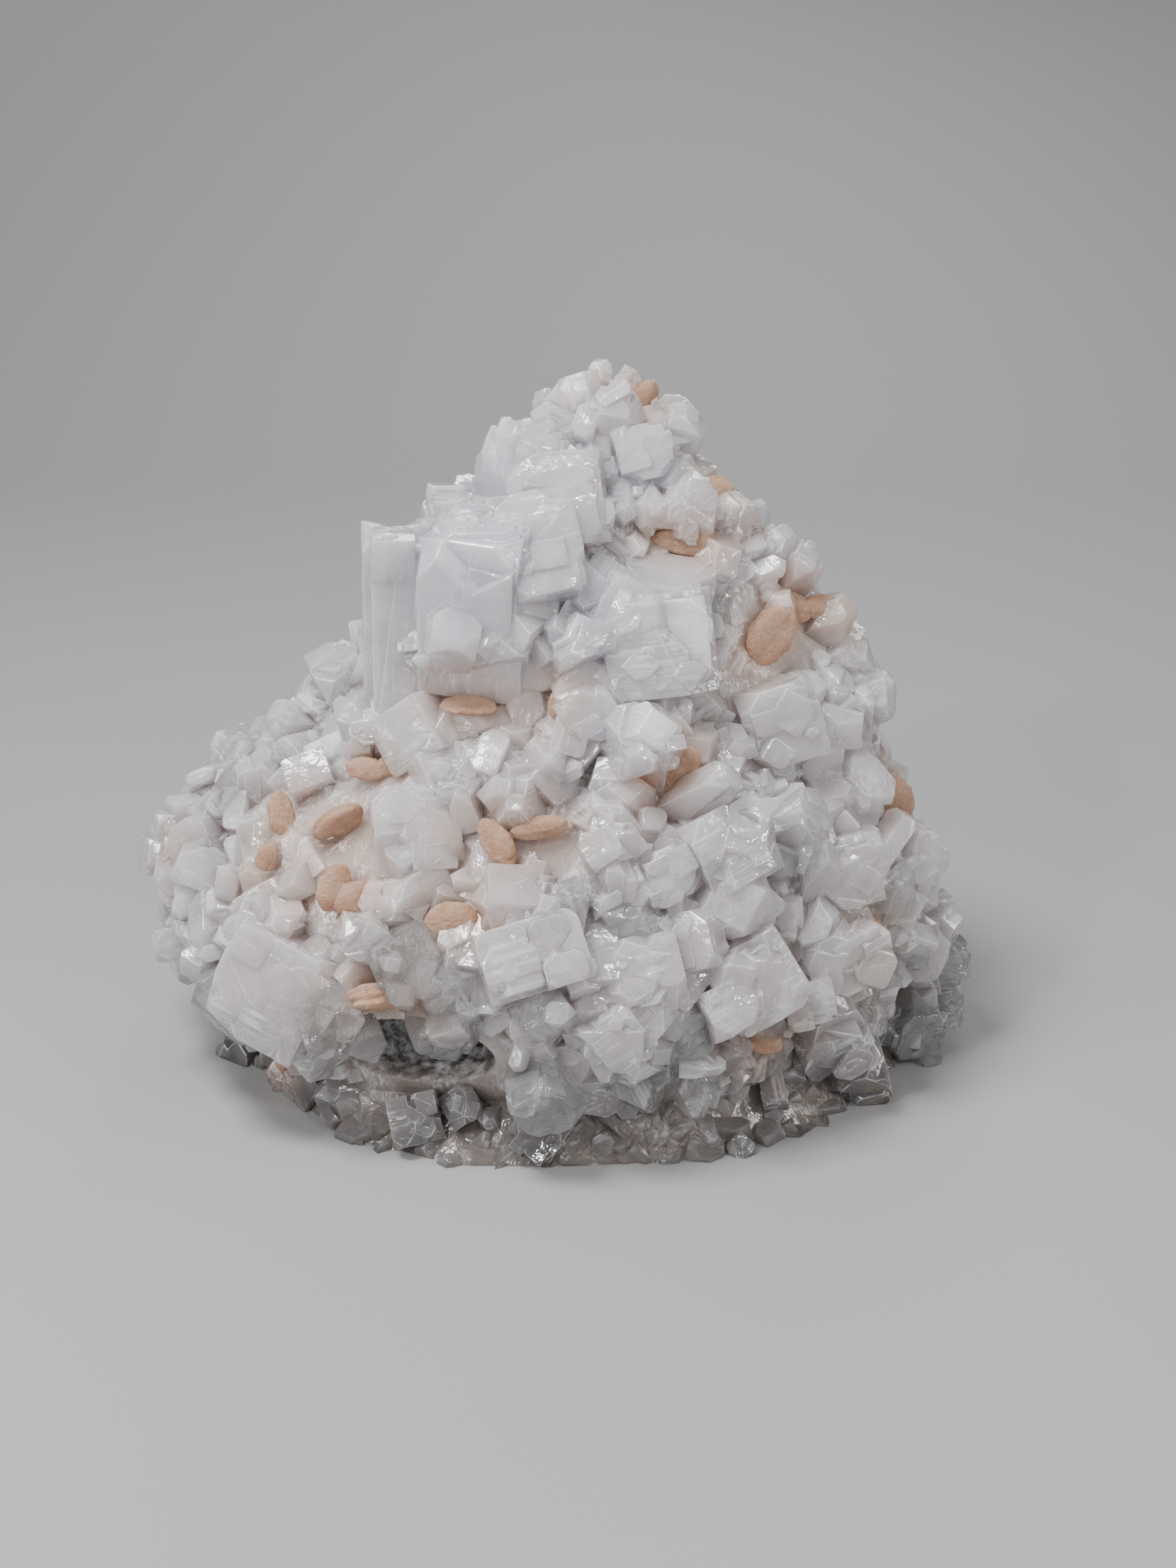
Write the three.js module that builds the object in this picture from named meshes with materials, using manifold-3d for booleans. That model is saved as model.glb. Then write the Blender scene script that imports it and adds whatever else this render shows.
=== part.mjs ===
// Apophyllite and stilbite cluster: a mound of white, ice-like apophyllite crystals grown into one
// another, with peach stilbite sheaves set among them. It stands on the flat cut at its foot.
// Millimetres. +Z is up, the photographed side faces -Y, and +X is to its right.
// The origin is the middle of the bounding box's foot.
import * as THREE from "three";
import { ConvexGeometry } from "three/addons/geometries/ConvexGeometry.js";
import { mergeVertices } from "three/addons/utils/BufferGeometryUtils.js";
import Module from "manifold-3d";

const wasm = await Module();
wasm.setup();

const DEGREE = Math.PI / 180;

// The photograph's viewpoint: crystals that it shows are placed by the pixel where they stand.
const VIEW = { elevation: 22 * DEGREE, distance: 560, aimHeight: 68 };
const PICTURE = { middleX: 829.5, middleY: 1106, pixel: 0.175, moundX: 790, moundY: 1150 };

// Outline of the mound under the crystals, from foot to peak: how far it reaches each way at each height.
const LEVELS = [
  { z: 0, left: 91, right: 88, front: 70, back: 60 },
  { z: 11, left: 91, right: 86, front: 60, back: 64 },
  { z: 30, left: 104, right: 86, front: 68, back: 68 },
  { z: 50, left: 103, right: 84, front: 66, back: 67 },
  { z: 68, left: 91, right: 77, front: 57, back: 61 },
  { z: 86, left: 66, right: 69, front: 45, back: 54 },
  { z: 104, left: 52, right: 58, front: 36, back: 46 },
  { z: 122, left: 40, right: 46, front: 28, back: 37 },
  { z: 140, left: 25, right: 32, front: 19, back: 28 },
  { z: 154, left: 15, right: 21, front: 10, back: 20 },
  { z: 162, left: 8, right: 13, front: 4, back: 14 },
];
const MOUND_SIDES = 16;
const SQUARENESS = { back: 2.2, frontLeft: 1.85, frontRight: 1.55 };
const LUMP = { size: 0.045, around: 5, twist: 0.07 };

// Apophyllite: a square prism whose four pyramid faces stand over its edges, 60.4 degrees from flat.
const PYRAMID_SLOPE = Math.tan(60.4 * DEGREE) / Math.SQRT2;
const SMALLEST_TIP = 0.08;
const ROOT = 0.55;

// Crystals that the photograph shows. x, y: pixel of the crystal's foot. wide, deep, rise: mm.
// axis: the way it points. turn: degrees about that axis. blunt: 0 is a sharp point, 1 a plain block.
const SHOWN_CRYSTALS = [
  // The peak
  { x: 938, y: 602, wide: 13, rise: 9, axis: [0.3, -0.8, 0.5], turn: 20, blunt: 0.5 },
  { x: 958, y: 584, wide: 12, rise: 8, axis: [0.7, -0.35, 0.6], turn: 30, blunt: 0.4 },
  { x: 852, y: 548, wide: 7, rise: 9, axis: [-0.2, -0.2, 1], turn: 15, blunt: 0.2 },
  { x: 886, y: 545, wide: 7, rise: 9, axis: [0.05, -0.2, 1], turn: 40, blunt: 0.15 },
  { x: 868, y: 590, wide: 12, rise: 9, axis: [0, -0.8, 0.6], turn: 35, blunt: 0.4 },
  { x: 790, y: 620, wide: 12, rise: 9, axis: [-0.5, -0.6, 0.6], turn: 35, blunt: 0.3 },
  { x: 727, y: 688, wide: 14, rise: 18, axis: [-0.12, -0.2, 1], turn: 40, blunt: 0.1 },
  { x: 762, y: 665, wide: 12, rise: 12, axis: [-0.1, -0.5, 0.9], turn: 5, blunt: 0.4 },
  { x: 684, y: 696, wide: 6, rise: 8, axis: [-0.9, -0.2, 0.3], turn: 0, blunt: 0.4 },
  { x: 905, y: 640, wide: 13, rise: 8, axis: [0.1, -0.95, 0.3], turn: 10, blunt: 0.6 },
  { x: 916, y: 714, wide: 9, rise: 8, axis: [0.1, -0.9, -0.1], turn: 42, blunt: 0.35 },
  { x: 964, y: 718, wide: 14, rise: 9, axis: [0.25, -0.9, 0.15], turn: 38, blunt: 0.5 },
  { x: 1015, y: 728, wide: 12, rise: 8, axis: [0.6, -0.75, 0.1], turn: 25, blunt: 0.45 },
  { x: 792, y: 712, wide: 22, rise: 9, axis: [-0.15, -0.9, 0.4], turn: 12, blunt: 0.75 },
  // The tall blocks of the left shoulder
  { x: 574, y: 955, wide: 20, deep: 19, rise: 37, axis: [0.05, -0.1, 1], turn: 8, blunt: 0.66 },
  { x: 640, y: 800, wide: 13, rise: 19, axis: [0.02, 0.1, 1], turn: 30, blunt: 0.3 },
  { x: 680, y: 880, wide: 25, rise: 28, axis: [0.03, -0.22, 1], turn: -12, blunt: 0.75 },
  { x: 736, y: 800, wide: 25, rise: 17, axis: [-0.1, -0.7, 0.75], turn: 20, blunt: 0.7 },
  { x: 706, y: 905, wide: 17, rise: 17, axis: [0.45, -0.65, 0.6], turn: 28, blunt: 0.3 },
  { x: 632, y: 905, wide: 16, rise: 12, axis: [-0.25, -0.85, 0.3], turn: 18, blunt: 0.7 },
  { x: 812, y: 908, wide: 14, rise: 13, axis: [0, -0.85, 0.5], turn: 35, blunt: 0.6 },
  // The square block of the middle and its ledge
  { x: 930, y: 905, wide: 26, deep: 24, rise: 11, axis: [0.04, -0.97, 0.2], turn: 5, blunt: 0.82 },
  { x: 940, y: 830, wide: 22, deep: 12, rise: 6, axis: [0.08, -0.6, 0.8], turn: -4, blunt: 0.85 },
  // The right shoulder
  { x: 1004, y: 792, wide: 15, rise: 8, axis: [0.2, -0.7, 0.65], turn: 25, blunt: 0.6 },
  { x: 1082, y: 785, wide: 9, rise: 9, axis: [0.4, -0.4, 0.8], turn: 15, blunt: 0.3 },
  { x: 1122, y: 800, wide: 10, rise: 9, axis: [0.5, -0.4, 0.75], turn: 40, blunt: 0.4 },
  { x: 1188, y: 860, wide: 10, rise: 9, axis: [0.6, -0.4, 0.65], turn: 20, blunt: 0.35 },
  { x: 1204, y: 916, wide: 10, rise: 7, axis: [0.85, -0.3, 0.35], turn: 30, blunt: 0.3 },
  { x: 1232, y: 975, wide: 11, rise: 9, axis: [0.85, -0.4, 0.2], turn: 10, blunt: 0.45 },
  { x: 1094, y: 1015, wide: 19, rise: 10, axis: [0.15, -0.95, 0.2], turn: 14, blunt: 0.7 },
  { x: 1172, y: 1022, wide: 16, rise: 10, axis: [0.35, -0.9, 0.05], turn: 40, blunt: 0.3 },
  { x: 1204, y: 1100, wide: 15, rise: 11, axis: [0.4, -0.85, -0.3], turn: 42, blunt: 0.2 },
  { x: 1274, y: 1206, wide: 14, rise: 9, axis: [0.6, -0.75, 0.2], turn: 33, blunt: 0.5 },
  { x: 1192, y: 1220, wide: 17, rise: 8, axis: [0.25, -0.95, 0.15], turn: 8, blunt: 0.8 },
  // The middle
  { x: 828, y: 1000, wide: 13, rise: 9, axis: [0.1, -0.95, 0.15], turn: 30, blunt: 0.55 },
  { x: 895, y: 1048, wide: 17, rise: 17, axis: [0.3, -0.75, 0.45], turn: 42, blunt: 0.35 },
  { x: 776, y: 1072, wide: 13, rise: 10, axis: [0, -0.9, 0.35], turn: 45, blunt: 0.1 },
  { x: 672, y: 1072, wide: 12, rise: 10, axis: [-0.1, -0.8, 0.5], turn: 30, blunt: 0.1 },
  { x: 730, y: 1120, wide: 17, rise: 10, axis: [0, -0.85, 0.5], turn: 38, blunt: 0.25 },
  { x: 868, y: 1190, wide: 15, rise: 11, axis: [-0.25, -0.8, 0.5], turn: 10, blunt: 0.4 },
  { x: 880, y: 1245, wide: 15, rise: 9, axis: [-0.1, -1, 0], turn: 40, blunt: 0.4 },
  { x: 940, y: 1225, wide: 13, rise: 10, axis: [0.1, -0.95, 0.3], turn: 20, blunt: 0.6 },
  { x: 1022, y: 1200, wide: 20, rise: 13, axis: [0.2, -0.85, 0.45], turn: 24, blunt: 0.72 },
  { x: 948, y: 1140, wide: 9, deep: 7, rise: 20, axis: [0.65, -0.45, 0.55], turn: 12, blunt: 0.5 },
  // The left lobe
  { x: 442, y: 1100, wide: 11, deep: 9, rise: 8, axis: [-0.1, -0.7, 0.6], turn: 12, blunt: 0.92 },
  { x: 645, y: 1108, wide: 12, rise: 9, axis: [0.1, -0.85, 0.5], turn: 8, blunt: 0.5 },
  { x: 296, y: 1188, wide: 13, rise: 9, axis: [-0.45, -0.85, 0.25], turn: 40, blunt: 0.7 },
  { x: 484, y: 966, wide: 12, rise: 9, axis: [-0.3, -0.3, 0.9], turn: 20, blunt: 0.5 },
  { x: 398, y: 1020, wide: 10, rise: 8, axis: [-0.6, -0.3, 0.75], turn: 10, blunt: 0.3 },
  { x: 540, y: 1040, wide: 16, deep: 10, rise: 8, axis: [-0.05, -0.75, 0.65], turn: 5, blunt: 0.7 },
  { x: 592, y: 1180, wide: 22, rise: 9, axis: [0.12, -0.8, 0.55], turn: 16, blunt: 0.82 },
  { x: 238, y: 1190, wide: 17, rise: 7, axis: [-0.85, -0.45, 0.2], turn: 14, blunt: 0.6 },
  { x: 264, y: 1280, wide: 12, rise: 8, axis: [-0.7, -0.65, 0.1], turn: 35, blunt: 0.4 },
  { x: 398, y: 1385, wide: 27, rise: 13, axis: [-0.15, -0.85, 0.2], turn: -24, blunt: 0.78 },
  { x: 470, y: 1422, wide: 18, rise: 14, axis: [0.25, -0.9, -0.15], turn: 16, blunt: 0.55 },
  { x: 380, y: 1300, wide: 17, rise: 9, axis: [-0.2, -0.9, 0.3], turn: 33, blunt: 0.5 },
  { x: 520, y: 1316, wide: 12, rise: 9, axis: [0, -0.95, 0.2], turn: 20, blunt: 0.5 },
  { x: 576, y: 1350, wide: 16, rise: 11, axis: [0.1, -1, 0.15], turn: 28, blunt: 0.5 },
  { x: 642, y: 1408, wide: 15, rise: 16, axis: [0.08, -0.7, 0.6], turn: 42, blunt: 0.1 },
  { x: 630, y: 1446, wide: 14, rise: 12, axis: [0.05, -0.85, -0.45], turn: 30, blunt: 0.3 },
  // The broad blocks of the lower middle
  { x: 750, y: 1348, wide: 25, deep: 18, rise: 12, axis: [0.12, -0.85, 0.5], turn: -8, blunt: 0.85 },
  { x: 742, y: 1280, wide: 20, rise: 10, axis: [0.05, -0.65, 0.75], turn: 34, blunt: 0.3 },
  { x: 976, y: 1330, wide: 14, rise: 10, axis: [-0.3, -0.85, 0.4], turn: 22, blunt: 0.7 },
  { x: 1054, y: 1370, wide: 20, rise: 12, axis: [0.25, -0.95, 0.15], turn: 28, blunt: 0.8 },
  { x: 772, y: 1420, wide: 12, rise: 11, axis: [-0.1, -0.9, 0.3], turn: 30, blunt: 0.45 },
  { x: 906, y: 1378, wide: 18, rise: 11, axis: [0, -0.85, 0.5], turn: 14, blunt: 0.6 },
  { x: 1015, y: 1425, wide: 12, rise: 12, axis: [0.2, -0.8, 0.45], turn: 20, blunt: 0.65 },
  { x: 860, y: 1455, wide: 17, rise: 10, axis: [0, -1, 0.05], turn: 36, blunt: 0.6 },
  { x: 776, y: 1512, wide: 15, rise: 13, axis: [-0.1, -0.85, -0.3], turn: 33, blunt: 0.6 },
  { x: 978, y: 1520, wide: 11, rise: 11, axis: [0, -0.8, -0.5], turn: 44, blunt: 0.1 },
  { x: 1085, y: 1515, wide: 6, rise: 9, axis: [0.15, -0.85, -0.5], turn: 12, blunt: 0.95 },
  // The right lobe
  { x: 1266, y: 1324, wide: 11, rise: 10, axis: [0.45, -0.85, 0.2], turn: 20, blunt: 0.5 },
  { x: 1186, y: 1345, wide: 21, rise: 9, axis: [0.25, -0.95, 0.05], turn: 22, blunt: 0.7 },
  { x: 1336, y: 1362, wide: 12, rise: 9, axis: [0.9, -0.35, 0.05], turn: 15, blunt: 0.35 },
  { x: 1332, y: 1420, wide: 10, rise: 10, axis: [0.9, -0.35, -0.2], turn: 38, blunt: 0.3 },
  { x: 1140, y: 1408, wide: 12, rise: 13, axis: [-0.05, -0.9, 0.3], turn: 12, blunt: 0.75 },
  { x: 1168, y: 1448, wide: 18, rise: 12, axis: [0.1, -0.97, -0.1], turn: 30, blunt: 0.5 },
  { x: 1200, y: 1492, wide: 15, rise: 12, axis: [0.15, -0.85, -0.4], turn: 14, blunt: 0.6 },
  { x: 1266, y: 1436, wide: 15, rise: 10, axis: [0.45, -0.85, -0.1], turn: 36, blunt: 0.6 },
  { x: 1290, y: 1482, wide: 12, rise: 10, axis: [0.5, -0.75, -0.4], turn: 10, blunt: 0.5 },
  // The lower lip under the hollow
  { x: 436, y: 1532, wide: 10, rise: 11, axis: [0, -0.5, 0.8], turn: 40, blunt: 0.1 },
  { x: 592, y: 1578, wide: 12, rise: 8, axis: [-0.1, -0.85, 0.45], turn: 16, blunt: 0.8 },
  { x: 652, y: 1560, wide: 9, rise: 9, axis: [0, -0.8, 0.5], turn: 32, blunt: 0.4 },
  { x: 330, y: 1492, wide: 16, rise: 8, axis: [-0.55, -0.75, 0.2], turn: 24, blunt: 0.5 },
];

// Crystals of the sides and the back, and small ones in the gaps of the front: an even, jittered cover.
const COVER = {
  seed: 7, firstZ: 8, lastZ: 158, rowStep: 20, spacing: 29, fewest: 7, jitter: 0.6,
  wideLeast: 17, wideMost: 30, riseShare: 0.4, tilt: 0.4, upward: 0.15,
  clearOfShown: 16, clearOfSheaves: 13, backStarts: 22, frontWide: 14, lipHeight: 16, lipWide: 13,
};

// Stilbite sheaves that the photograph shows. x, y: pixel of the middle. long, wide, thick: mm.
// along: the sheaf's length. face: the way its broad side looks. waist: 1 is an oval, less is a bow tie.
const SHEAVES = [
  { name: "bow_tie", x: 727, y: 1180, long: 24, wide: 8.5, thick: 6, along: [0.95, -0.1, 0.15], face: [0, -0.8, 0.6], waist: 0.4 },
  { name: "oval_middle", x: 640, y: 1296, long: 13, wide: 8.5, thick: 6, along: [1, -0.1, 0.05], face: [0, -0.85, 0.5], waist: 1 },
  { name: "leaf_left", x: 480, y: 1166, long: 14.5, wide: 8.5, thick: 5, along: [0.75, -0.2, 0.6], face: [0.1, -0.8, -0.3], waist: 1 },
  { name: "fan_left", x: 486, y: 1258, long: 15, wide: 11, thick: 6, along: [0.75, -0.2, 0.6], face: [-0.2, -0.85, 0.3], waist: 0.7 },
  { name: "blade_upper", x: 662, y: 990, long: 14, wide: 8, thick: 2.6, along: [1, -0.15, -0.03], face: [0, -0.1, 1], waist: 1 },
  { name: "wedge_upper", x: 786, y: 996, long: 9, wide: 5, thick: 3.5, along: [0.2, -0.1, 1], face: [-0.4, -0.9, 0], waist: 1 },
  { name: "tall_far_left", x: 398, y: 1150, long: 12, wide: 6.5, thick: 4, along: [-0.25, -0.1, 1], face: [-0.2, -0.9, 0.2], waist: 1 },
  { name: "bud_far_left", x: 377, y: 1212, long: 9, wide: 5, thick: 4, along: [0.3, -0.3, 1], face: [-0.2, -0.9, 0.2], waist: 1 },
  { name: "bar_left", x: 538, y: 1080, long: 15, wide: 7, thick: 4, along: [1, -0.1, 0.1], face: [0, -0.8, 0.6], waist: 0.8 },
  { name: "edge_left", x: 256, y: 1215, long: 14, wide: 5, thick: 4, along: [0.2, -0.1, 1], face: [-0.6, -0.8, 0.1], waist: 1 },
  { name: "peak_right", x: 908, y: 532, long: 11, wide: 8, thick: 5, along: [0.3, -0.4, 1], face: [0.1, -0.9, 0.2], waist: 0.7 },
  { name: "peak_left", x: 812, y: 560, long: 11, wide: 6, thick: 5, along: [0.6, 0, 0.8], face: [-0.5, -0.7, 0.5], waist: 1 },
  { name: "spire_edge", x: 1034, y: 690, long: 14, wide: 9, thick: 7, along: [0.35, 0, -1], face: [0.5, -0.8, 0.2], waist: 0.9 },
  { name: "spire_foot", x: 968, y: 764, long: 17, wide: 7, thick: 5, along: [1, -0.1, -0.1], face: [0.1, -0.8, 0.5], waist: 0.8 },
  { name: "shoulder_right", x: 1146, y: 850, long: 17, wide: 9, thick: 6, along: [0.9, 0, -0.2], face: [0.3, -0.7, 0.6], waist: 0.6 },
  { name: "shoulder_low", x: 1086, y: 900, long: 17, wide: 11, thick: 5, along: [0.6, -0.1, 0.7], face: [0.2, -0.95, 0.2], waist: 0.8 },
  { name: "hollow_middle", x: 946, y: 1086, long: 15, wide: 9, thick: 6, along: [0.7, -0.1, 0.5], face: [0, -0.9, 0.4], waist: 0.8 },
  { name: "flank_right", x: 1264, y: 1130, long: 17, wide: 11, thick: 8, along: [0.5, 0, -0.8], face: [0.6, -0.8, 0], waist: 0.8 },
  { name: "shelf_low_left", x: 540, y: 1416, long: 19, wide: 12, thick: 6, along: [1, -0.1, -0.1], face: [0.1, -0.6, -0.7], waist: 0.8 },
  { name: "lip_left", x: 402, y: 1490, long: 11, wide: 5, thick: 4, along: [0.15, 0, 1], face: [-0.3, -0.9, 0], waist: 1 },
  { name: "low_right", x: 1072, y: 1460, long: 13, wide: 8, thick: 5, along: [0.8, -0.2, -0.5], face: [0.2, -0.9, 0.2], waist: 1 },
  { name: "lobe_right", x: 1232, y: 1326, long: 12, wide: 6, thick: 5, along: [0.1, -0.1, 1], face: [0.4, -0.9, 0.1], waist: 1 },
];

// Sheaves of the hidden sides: angle round the mound from its right side in degrees, and height.
const HIDDEN_SHEAVES = [
  { name: "back_low", angle: 70, z: 34, long: 19, wide: 10, thick: 6, spin: 20, waist: 0.5 },
  { name: "back_high", angle: 105, z: 96, long: 15, wide: 9, thick: 5, spin: 70, waist: 0.8 },
  { name: "back_left", angle: 140, z: 56, long: 17, wide: 9, thick: 6, spin: 130, waist: 0.5 },
  { name: "back_right", angle: 38, z: 74, long: 15, wide: 8, thick: 5, spin: 100, waist: 1 },
  { name: "side_left", angle: 172, z: 30, long: 14, wide: 8, thick: 5, spin: 45, waist: 0.8 },
  { name: "back_peak", angle: 80, z: 140, long: 12, wide: 7, thick: 5, spin: 60, waist: 1 },
];
const SHEAF_GAP = 0.3;
const SHEAF_SUNK = 0.12;

const forward = new THREE.Vector3(0, Math.cos(VIEW.elevation), -Math.sin(VIEW.elevation));
const upward = new THREE.Vector3(0, Math.sin(VIEW.elevation), Math.cos(VIEW.elevation));
const eye = new THREE.Vector3(0, 0, VIEW.aimHeight).addScaledVector(forward, -VIEW.distance);

// Numbers from 0 to 1, the same ones each time for a seed.
function randomNumbers(seed) {
  let state = seed;
  return () => {
    state = (state * 1664525 + 1013904223) % 4294967296;
    return state / 4294967296;
  };
}

function reachesAt(z) {
  const above = LEVELS.findIndex((level) => level.z >= z);
  if (above <= 0) return above === 0 ? LEVELS[0] : LEVELS.at(-1);
  const low = LEVELS[above - 1];
  const high = LEVELS[above];
  const share = (z - low.z) / (high.z - low.z);
  const between = (side) => low[side] + (high[side] - low[side]) * share;
  return { left: between("left"), right: between("right"), front: between("front"), back: between("back") };
}

// The point of the mound's skin at an angle round it, from +X towards the back, and a height.
function skin(angle, z) {
  const reach = reachesAt(z);
  const across = Math.cos(angle);
  const away = Math.sin(angle);
  const sideways = Math.abs(across) / (across > 0 ? reach.right : reach.left);
  const lengthways = Math.abs(away) / (away > 0 ? reach.back : reach.front);
  const front = across > 0 ? SQUARENESS.frontRight : SQUARENESS.frontLeft;
  const power = away > 0 ? SQUARENESS.back : front;
  const plain = (sideways ** power + lengthways ** power) ** (-1 / power);
  const radius = plain * (1 + LUMP.size * Math.sin(LUMP.around * angle + LUMP.twist * z));
  return new THREE.Vector3(radius * across, radius * away, z);
}

function skinNormal(angle, z) {
  const step = 0.5;
  const round = skin(angle + 0.05, z).sub(skin(angle - 0.05, z));
  const up = skin(angle, z + step).sub(skin(angle, z - step));
  return round.cross(up).normalize();
}

function moundGeometry() {
  const rows = LEVELS.length - 1;
  const geometry = new THREE.CylinderGeometry(1, 1, 1, MOUND_SIDES, rows);
  geometry.rotateX(Math.PI / 2);
  const place = geometry.getAttribute("position");
  for (let i = 0; i < place.count; i += 1) {
    const { z } = LEVELS[Math.round((place.getZ(i) + 0.5) * rows)];
    const share = Math.hypot(place.getX(i), place.getY(i));
    const point = skin(Math.atan2(place.getY(i), place.getX(i)), z);
    place.setXYZ(i, point.x * share, point.y * share, z);
  }
  return geometry;
}

// Where the line of sight through a pixel of the photograph meets the mound. A crystal that the photograph
// shows just outside the mound's outline stands at its edge: the pixel moves inwards until it meets it.
const mound = new THREE.Mesh(moundGeometry(), new THREE.MeshBasicMaterial({ side: THREE.DoubleSide }));
function seenOnMound(x, y) {
  for (let inwards = 0; inwards < 0.3; inwards += 0.01) {
    const sight = forward.clone().multiplyScalar(VIEW.distance);
    const pixelX = x + inwards * (PICTURE.moundX - x);
    const pixelY = y + inwards * (PICTURE.moundY - y);
    sight.x += (pixelX - PICTURE.middleX) * PICTURE.pixel;
    sight.addScaledVector(upward, (PICTURE.middleY - pixelY) * PICTURE.pixel);
    const hit = new THREE.Raycaster(eye, sight.normalize()).intersectObject(mound)[0];
    if (hit) return hit.point;
  }
  throw new Error(`no mound at pixel ${x}, ${y}`);
}

// A crystal along +Z from its root, below 0, to its tip at rise.
function crystalGeometry({ wide, deep = wide, rise, blunt }) {
  const a = wide / 2;
  const b = deep / 2;
  const tip = Math.max(blunt * (a + b), SMALLEST_TIP);
  const apex = rise + PYRAMID_SLOPE * tip;
  const points = [];
  const mirrored = (x, y, z) => {
    for (const [sx, sy] of [[1, 1], [1, -1], [-1, 1], [-1, -1]]) {
      points.push(new THREE.Vector3(sx * x, sy * y, z));
    }
  };
  mirrored(Math.min(tip, a), Math.max(tip - a, 0), rise);
  mirrored(Math.max(tip - b, 0), Math.min(tip, b), rise);
  if (tip < a) mirrored(a, 0, apex - PYRAMID_SLOPE * a);
  if (tip < b) mirrored(0, b, apex - PYRAMID_SLOPE * b);
  const shoulder = apex - PYRAMID_SLOPE * (a + b);
  mirrored(a, b, shoulder);
  mirrored(a, b, Math.min(shoulder, 0) - ROOT * (a + b));
  return new ConvexGeometry(points);
}

// Turns +Z to the axis, with a prism face to the front, or up where the axis itself points to the front.
function standing(point, axis, turn) {
  const z = axis.clone().normalize();
  const front = new THREE.Vector3(0, -1, 0);
  const towards = Math.abs(z.dot(front)) < 0.85 ? front : new THREE.Vector3(0, 0, 1);
  const x = new THREE.Vector3().crossVectors(towards, z).normalize();
  const y = new THREE.Vector3().crossVectors(z, x);
  const matrix = new THREE.Matrix4().makeBasis(x, y, z).setPosition(point);
  return matrix.multiply(new THREE.Matrix4().makeRotationZ(turn * DEGREE));
}

function shownCrystals() {
  return SHOWN_CRYSTALS.map((crystal) => ({
    ...crystal,
    point: seenOnMound(crystal.x, crystal.y),
    axis: new THREE.Vector3(...crystal.axis),
  }));
}

function coverCrystals(shown, sheaves) {
  const random = randomNumbers(COVER.seed);
  const cover = [];
  for (let z = COVER.firstZ; z < COVER.lastZ; z += COVER.rowStep) {
    const reach = reachesAt(z);
    const girth = Math.PI * Math.hypot(reach.left + reach.right, reach.front + reach.back) / Math.SQRT2;
    const count = Math.max(COVER.fewest, Math.round(girth / COVER.spacing));
    for (let i = 0; i < count; i += 1) {
      const angle = ((i + COVER.jitter * random()) / count) * 2 * Math.PI;
      const height = z + COVER.jitter * COVER.rowStep * (random() - 0.5);
      const size = random() ** 1.6;
      const tilt = new THREE.Vector3(random() - 0.5, random() - 0.5, random() - 0.5);
      const turn = 90 * random();
      const blunt = 0.1 + 0.65 * random();
      const point = skin(angle, Math.max(height, 3));
      const nearCrystal = shown.some((crystal) => crystal.point.distanceTo(point) < COVER.clearOfShown);
      const nearSheaf = sheaves.some((sheaf) => sheaf.point.distanceTo(point) < COVER.clearOfSheaves);
      if (nearCrystal || nearSheaf) continue;
      let wide = COVER.wideLeast + (COVER.wideMost - COVER.wideLeast) * size;
      if (point.y < COVER.backStarts) wide = Math.min(wide, COVER.frontWide);
      if (height < COVER.lipHeight) wide = Math.min(wide, COVER.lipWide);
      const axis = skinNormal(angle, point.z).addScaledVector(tilt, 2 * COVER.tilt);
      axis.z += COVER.upward;
      cover.push({ point, axis, turn, wide, rise: wide * COVER.riseShare, blunt });
    }
  }
  return cover;
}

// One lobe of a sheaf, from its waist at 0 along +X: broad and flat, narrowing to a blunt tip.
function lobePoints(long, wide, thick, waist, towards) {
  const sections = [
    { along: 0, width: waist, middle: 0.45 },
    { along: 0.6, width: 1, middle: 0.45 },
    { along: 1, width: 0.34, middle: 0 },
  ];
  return sections.flatMap(({ along, width, middle }) => {
    const x = towards * along * (long / 2);
    const edge = width * (wide / 2);
    const height = Math.sqrt(width) * (thick / 2) * Math.sign(middle);
    return [[edge, 0], [-edge, 0], [middle * edge, height], [-middle * edge, height],
      [middle * edge, -height], [-middle * edge, -height]].map(([y, z]) => new THREE.Vector3(x, y, z));
  });
}

// The sheaf as a solid, grown by a margin all round. Its two lobes overlap a little at the waist.
function sheafSolid(sheaf, margin) {
  const [long, wide, thick] = [sheaf.long, sheaf.wide, sheaf.thick].map((size) => size + 2 * margin);
  const halves = [1, -1].map((side) => lobePoints(long, wide, thick, sheaf.waist, side));
  if (sheaf.waist === 1) return solidOf(new ConvexGeometry(halves.flat()), sheaf.matrix);
  const overlap = new THREE.Vector3(0.1, 0, 0);
  halves[0].forEach((point) => point.sub(overlap));
  halves[1].forEach((point) => point.add(overlap));
  const [one, other] = halves.map((points) => solidOf(new ConvexGeometry(points), sheaf.matrix));
  return one.add(other);
}

function lying(point, along, face) {
  const z = face.clone().normalize();
  const y = new THREE.Vector3().crossVectors(z, along).normalize();
  const x = new THREE.Vector3().crossVectors(y, z);
  return new THREE.Matrix4().makeBasis(x, y, z).setPosition(point);
}

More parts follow.
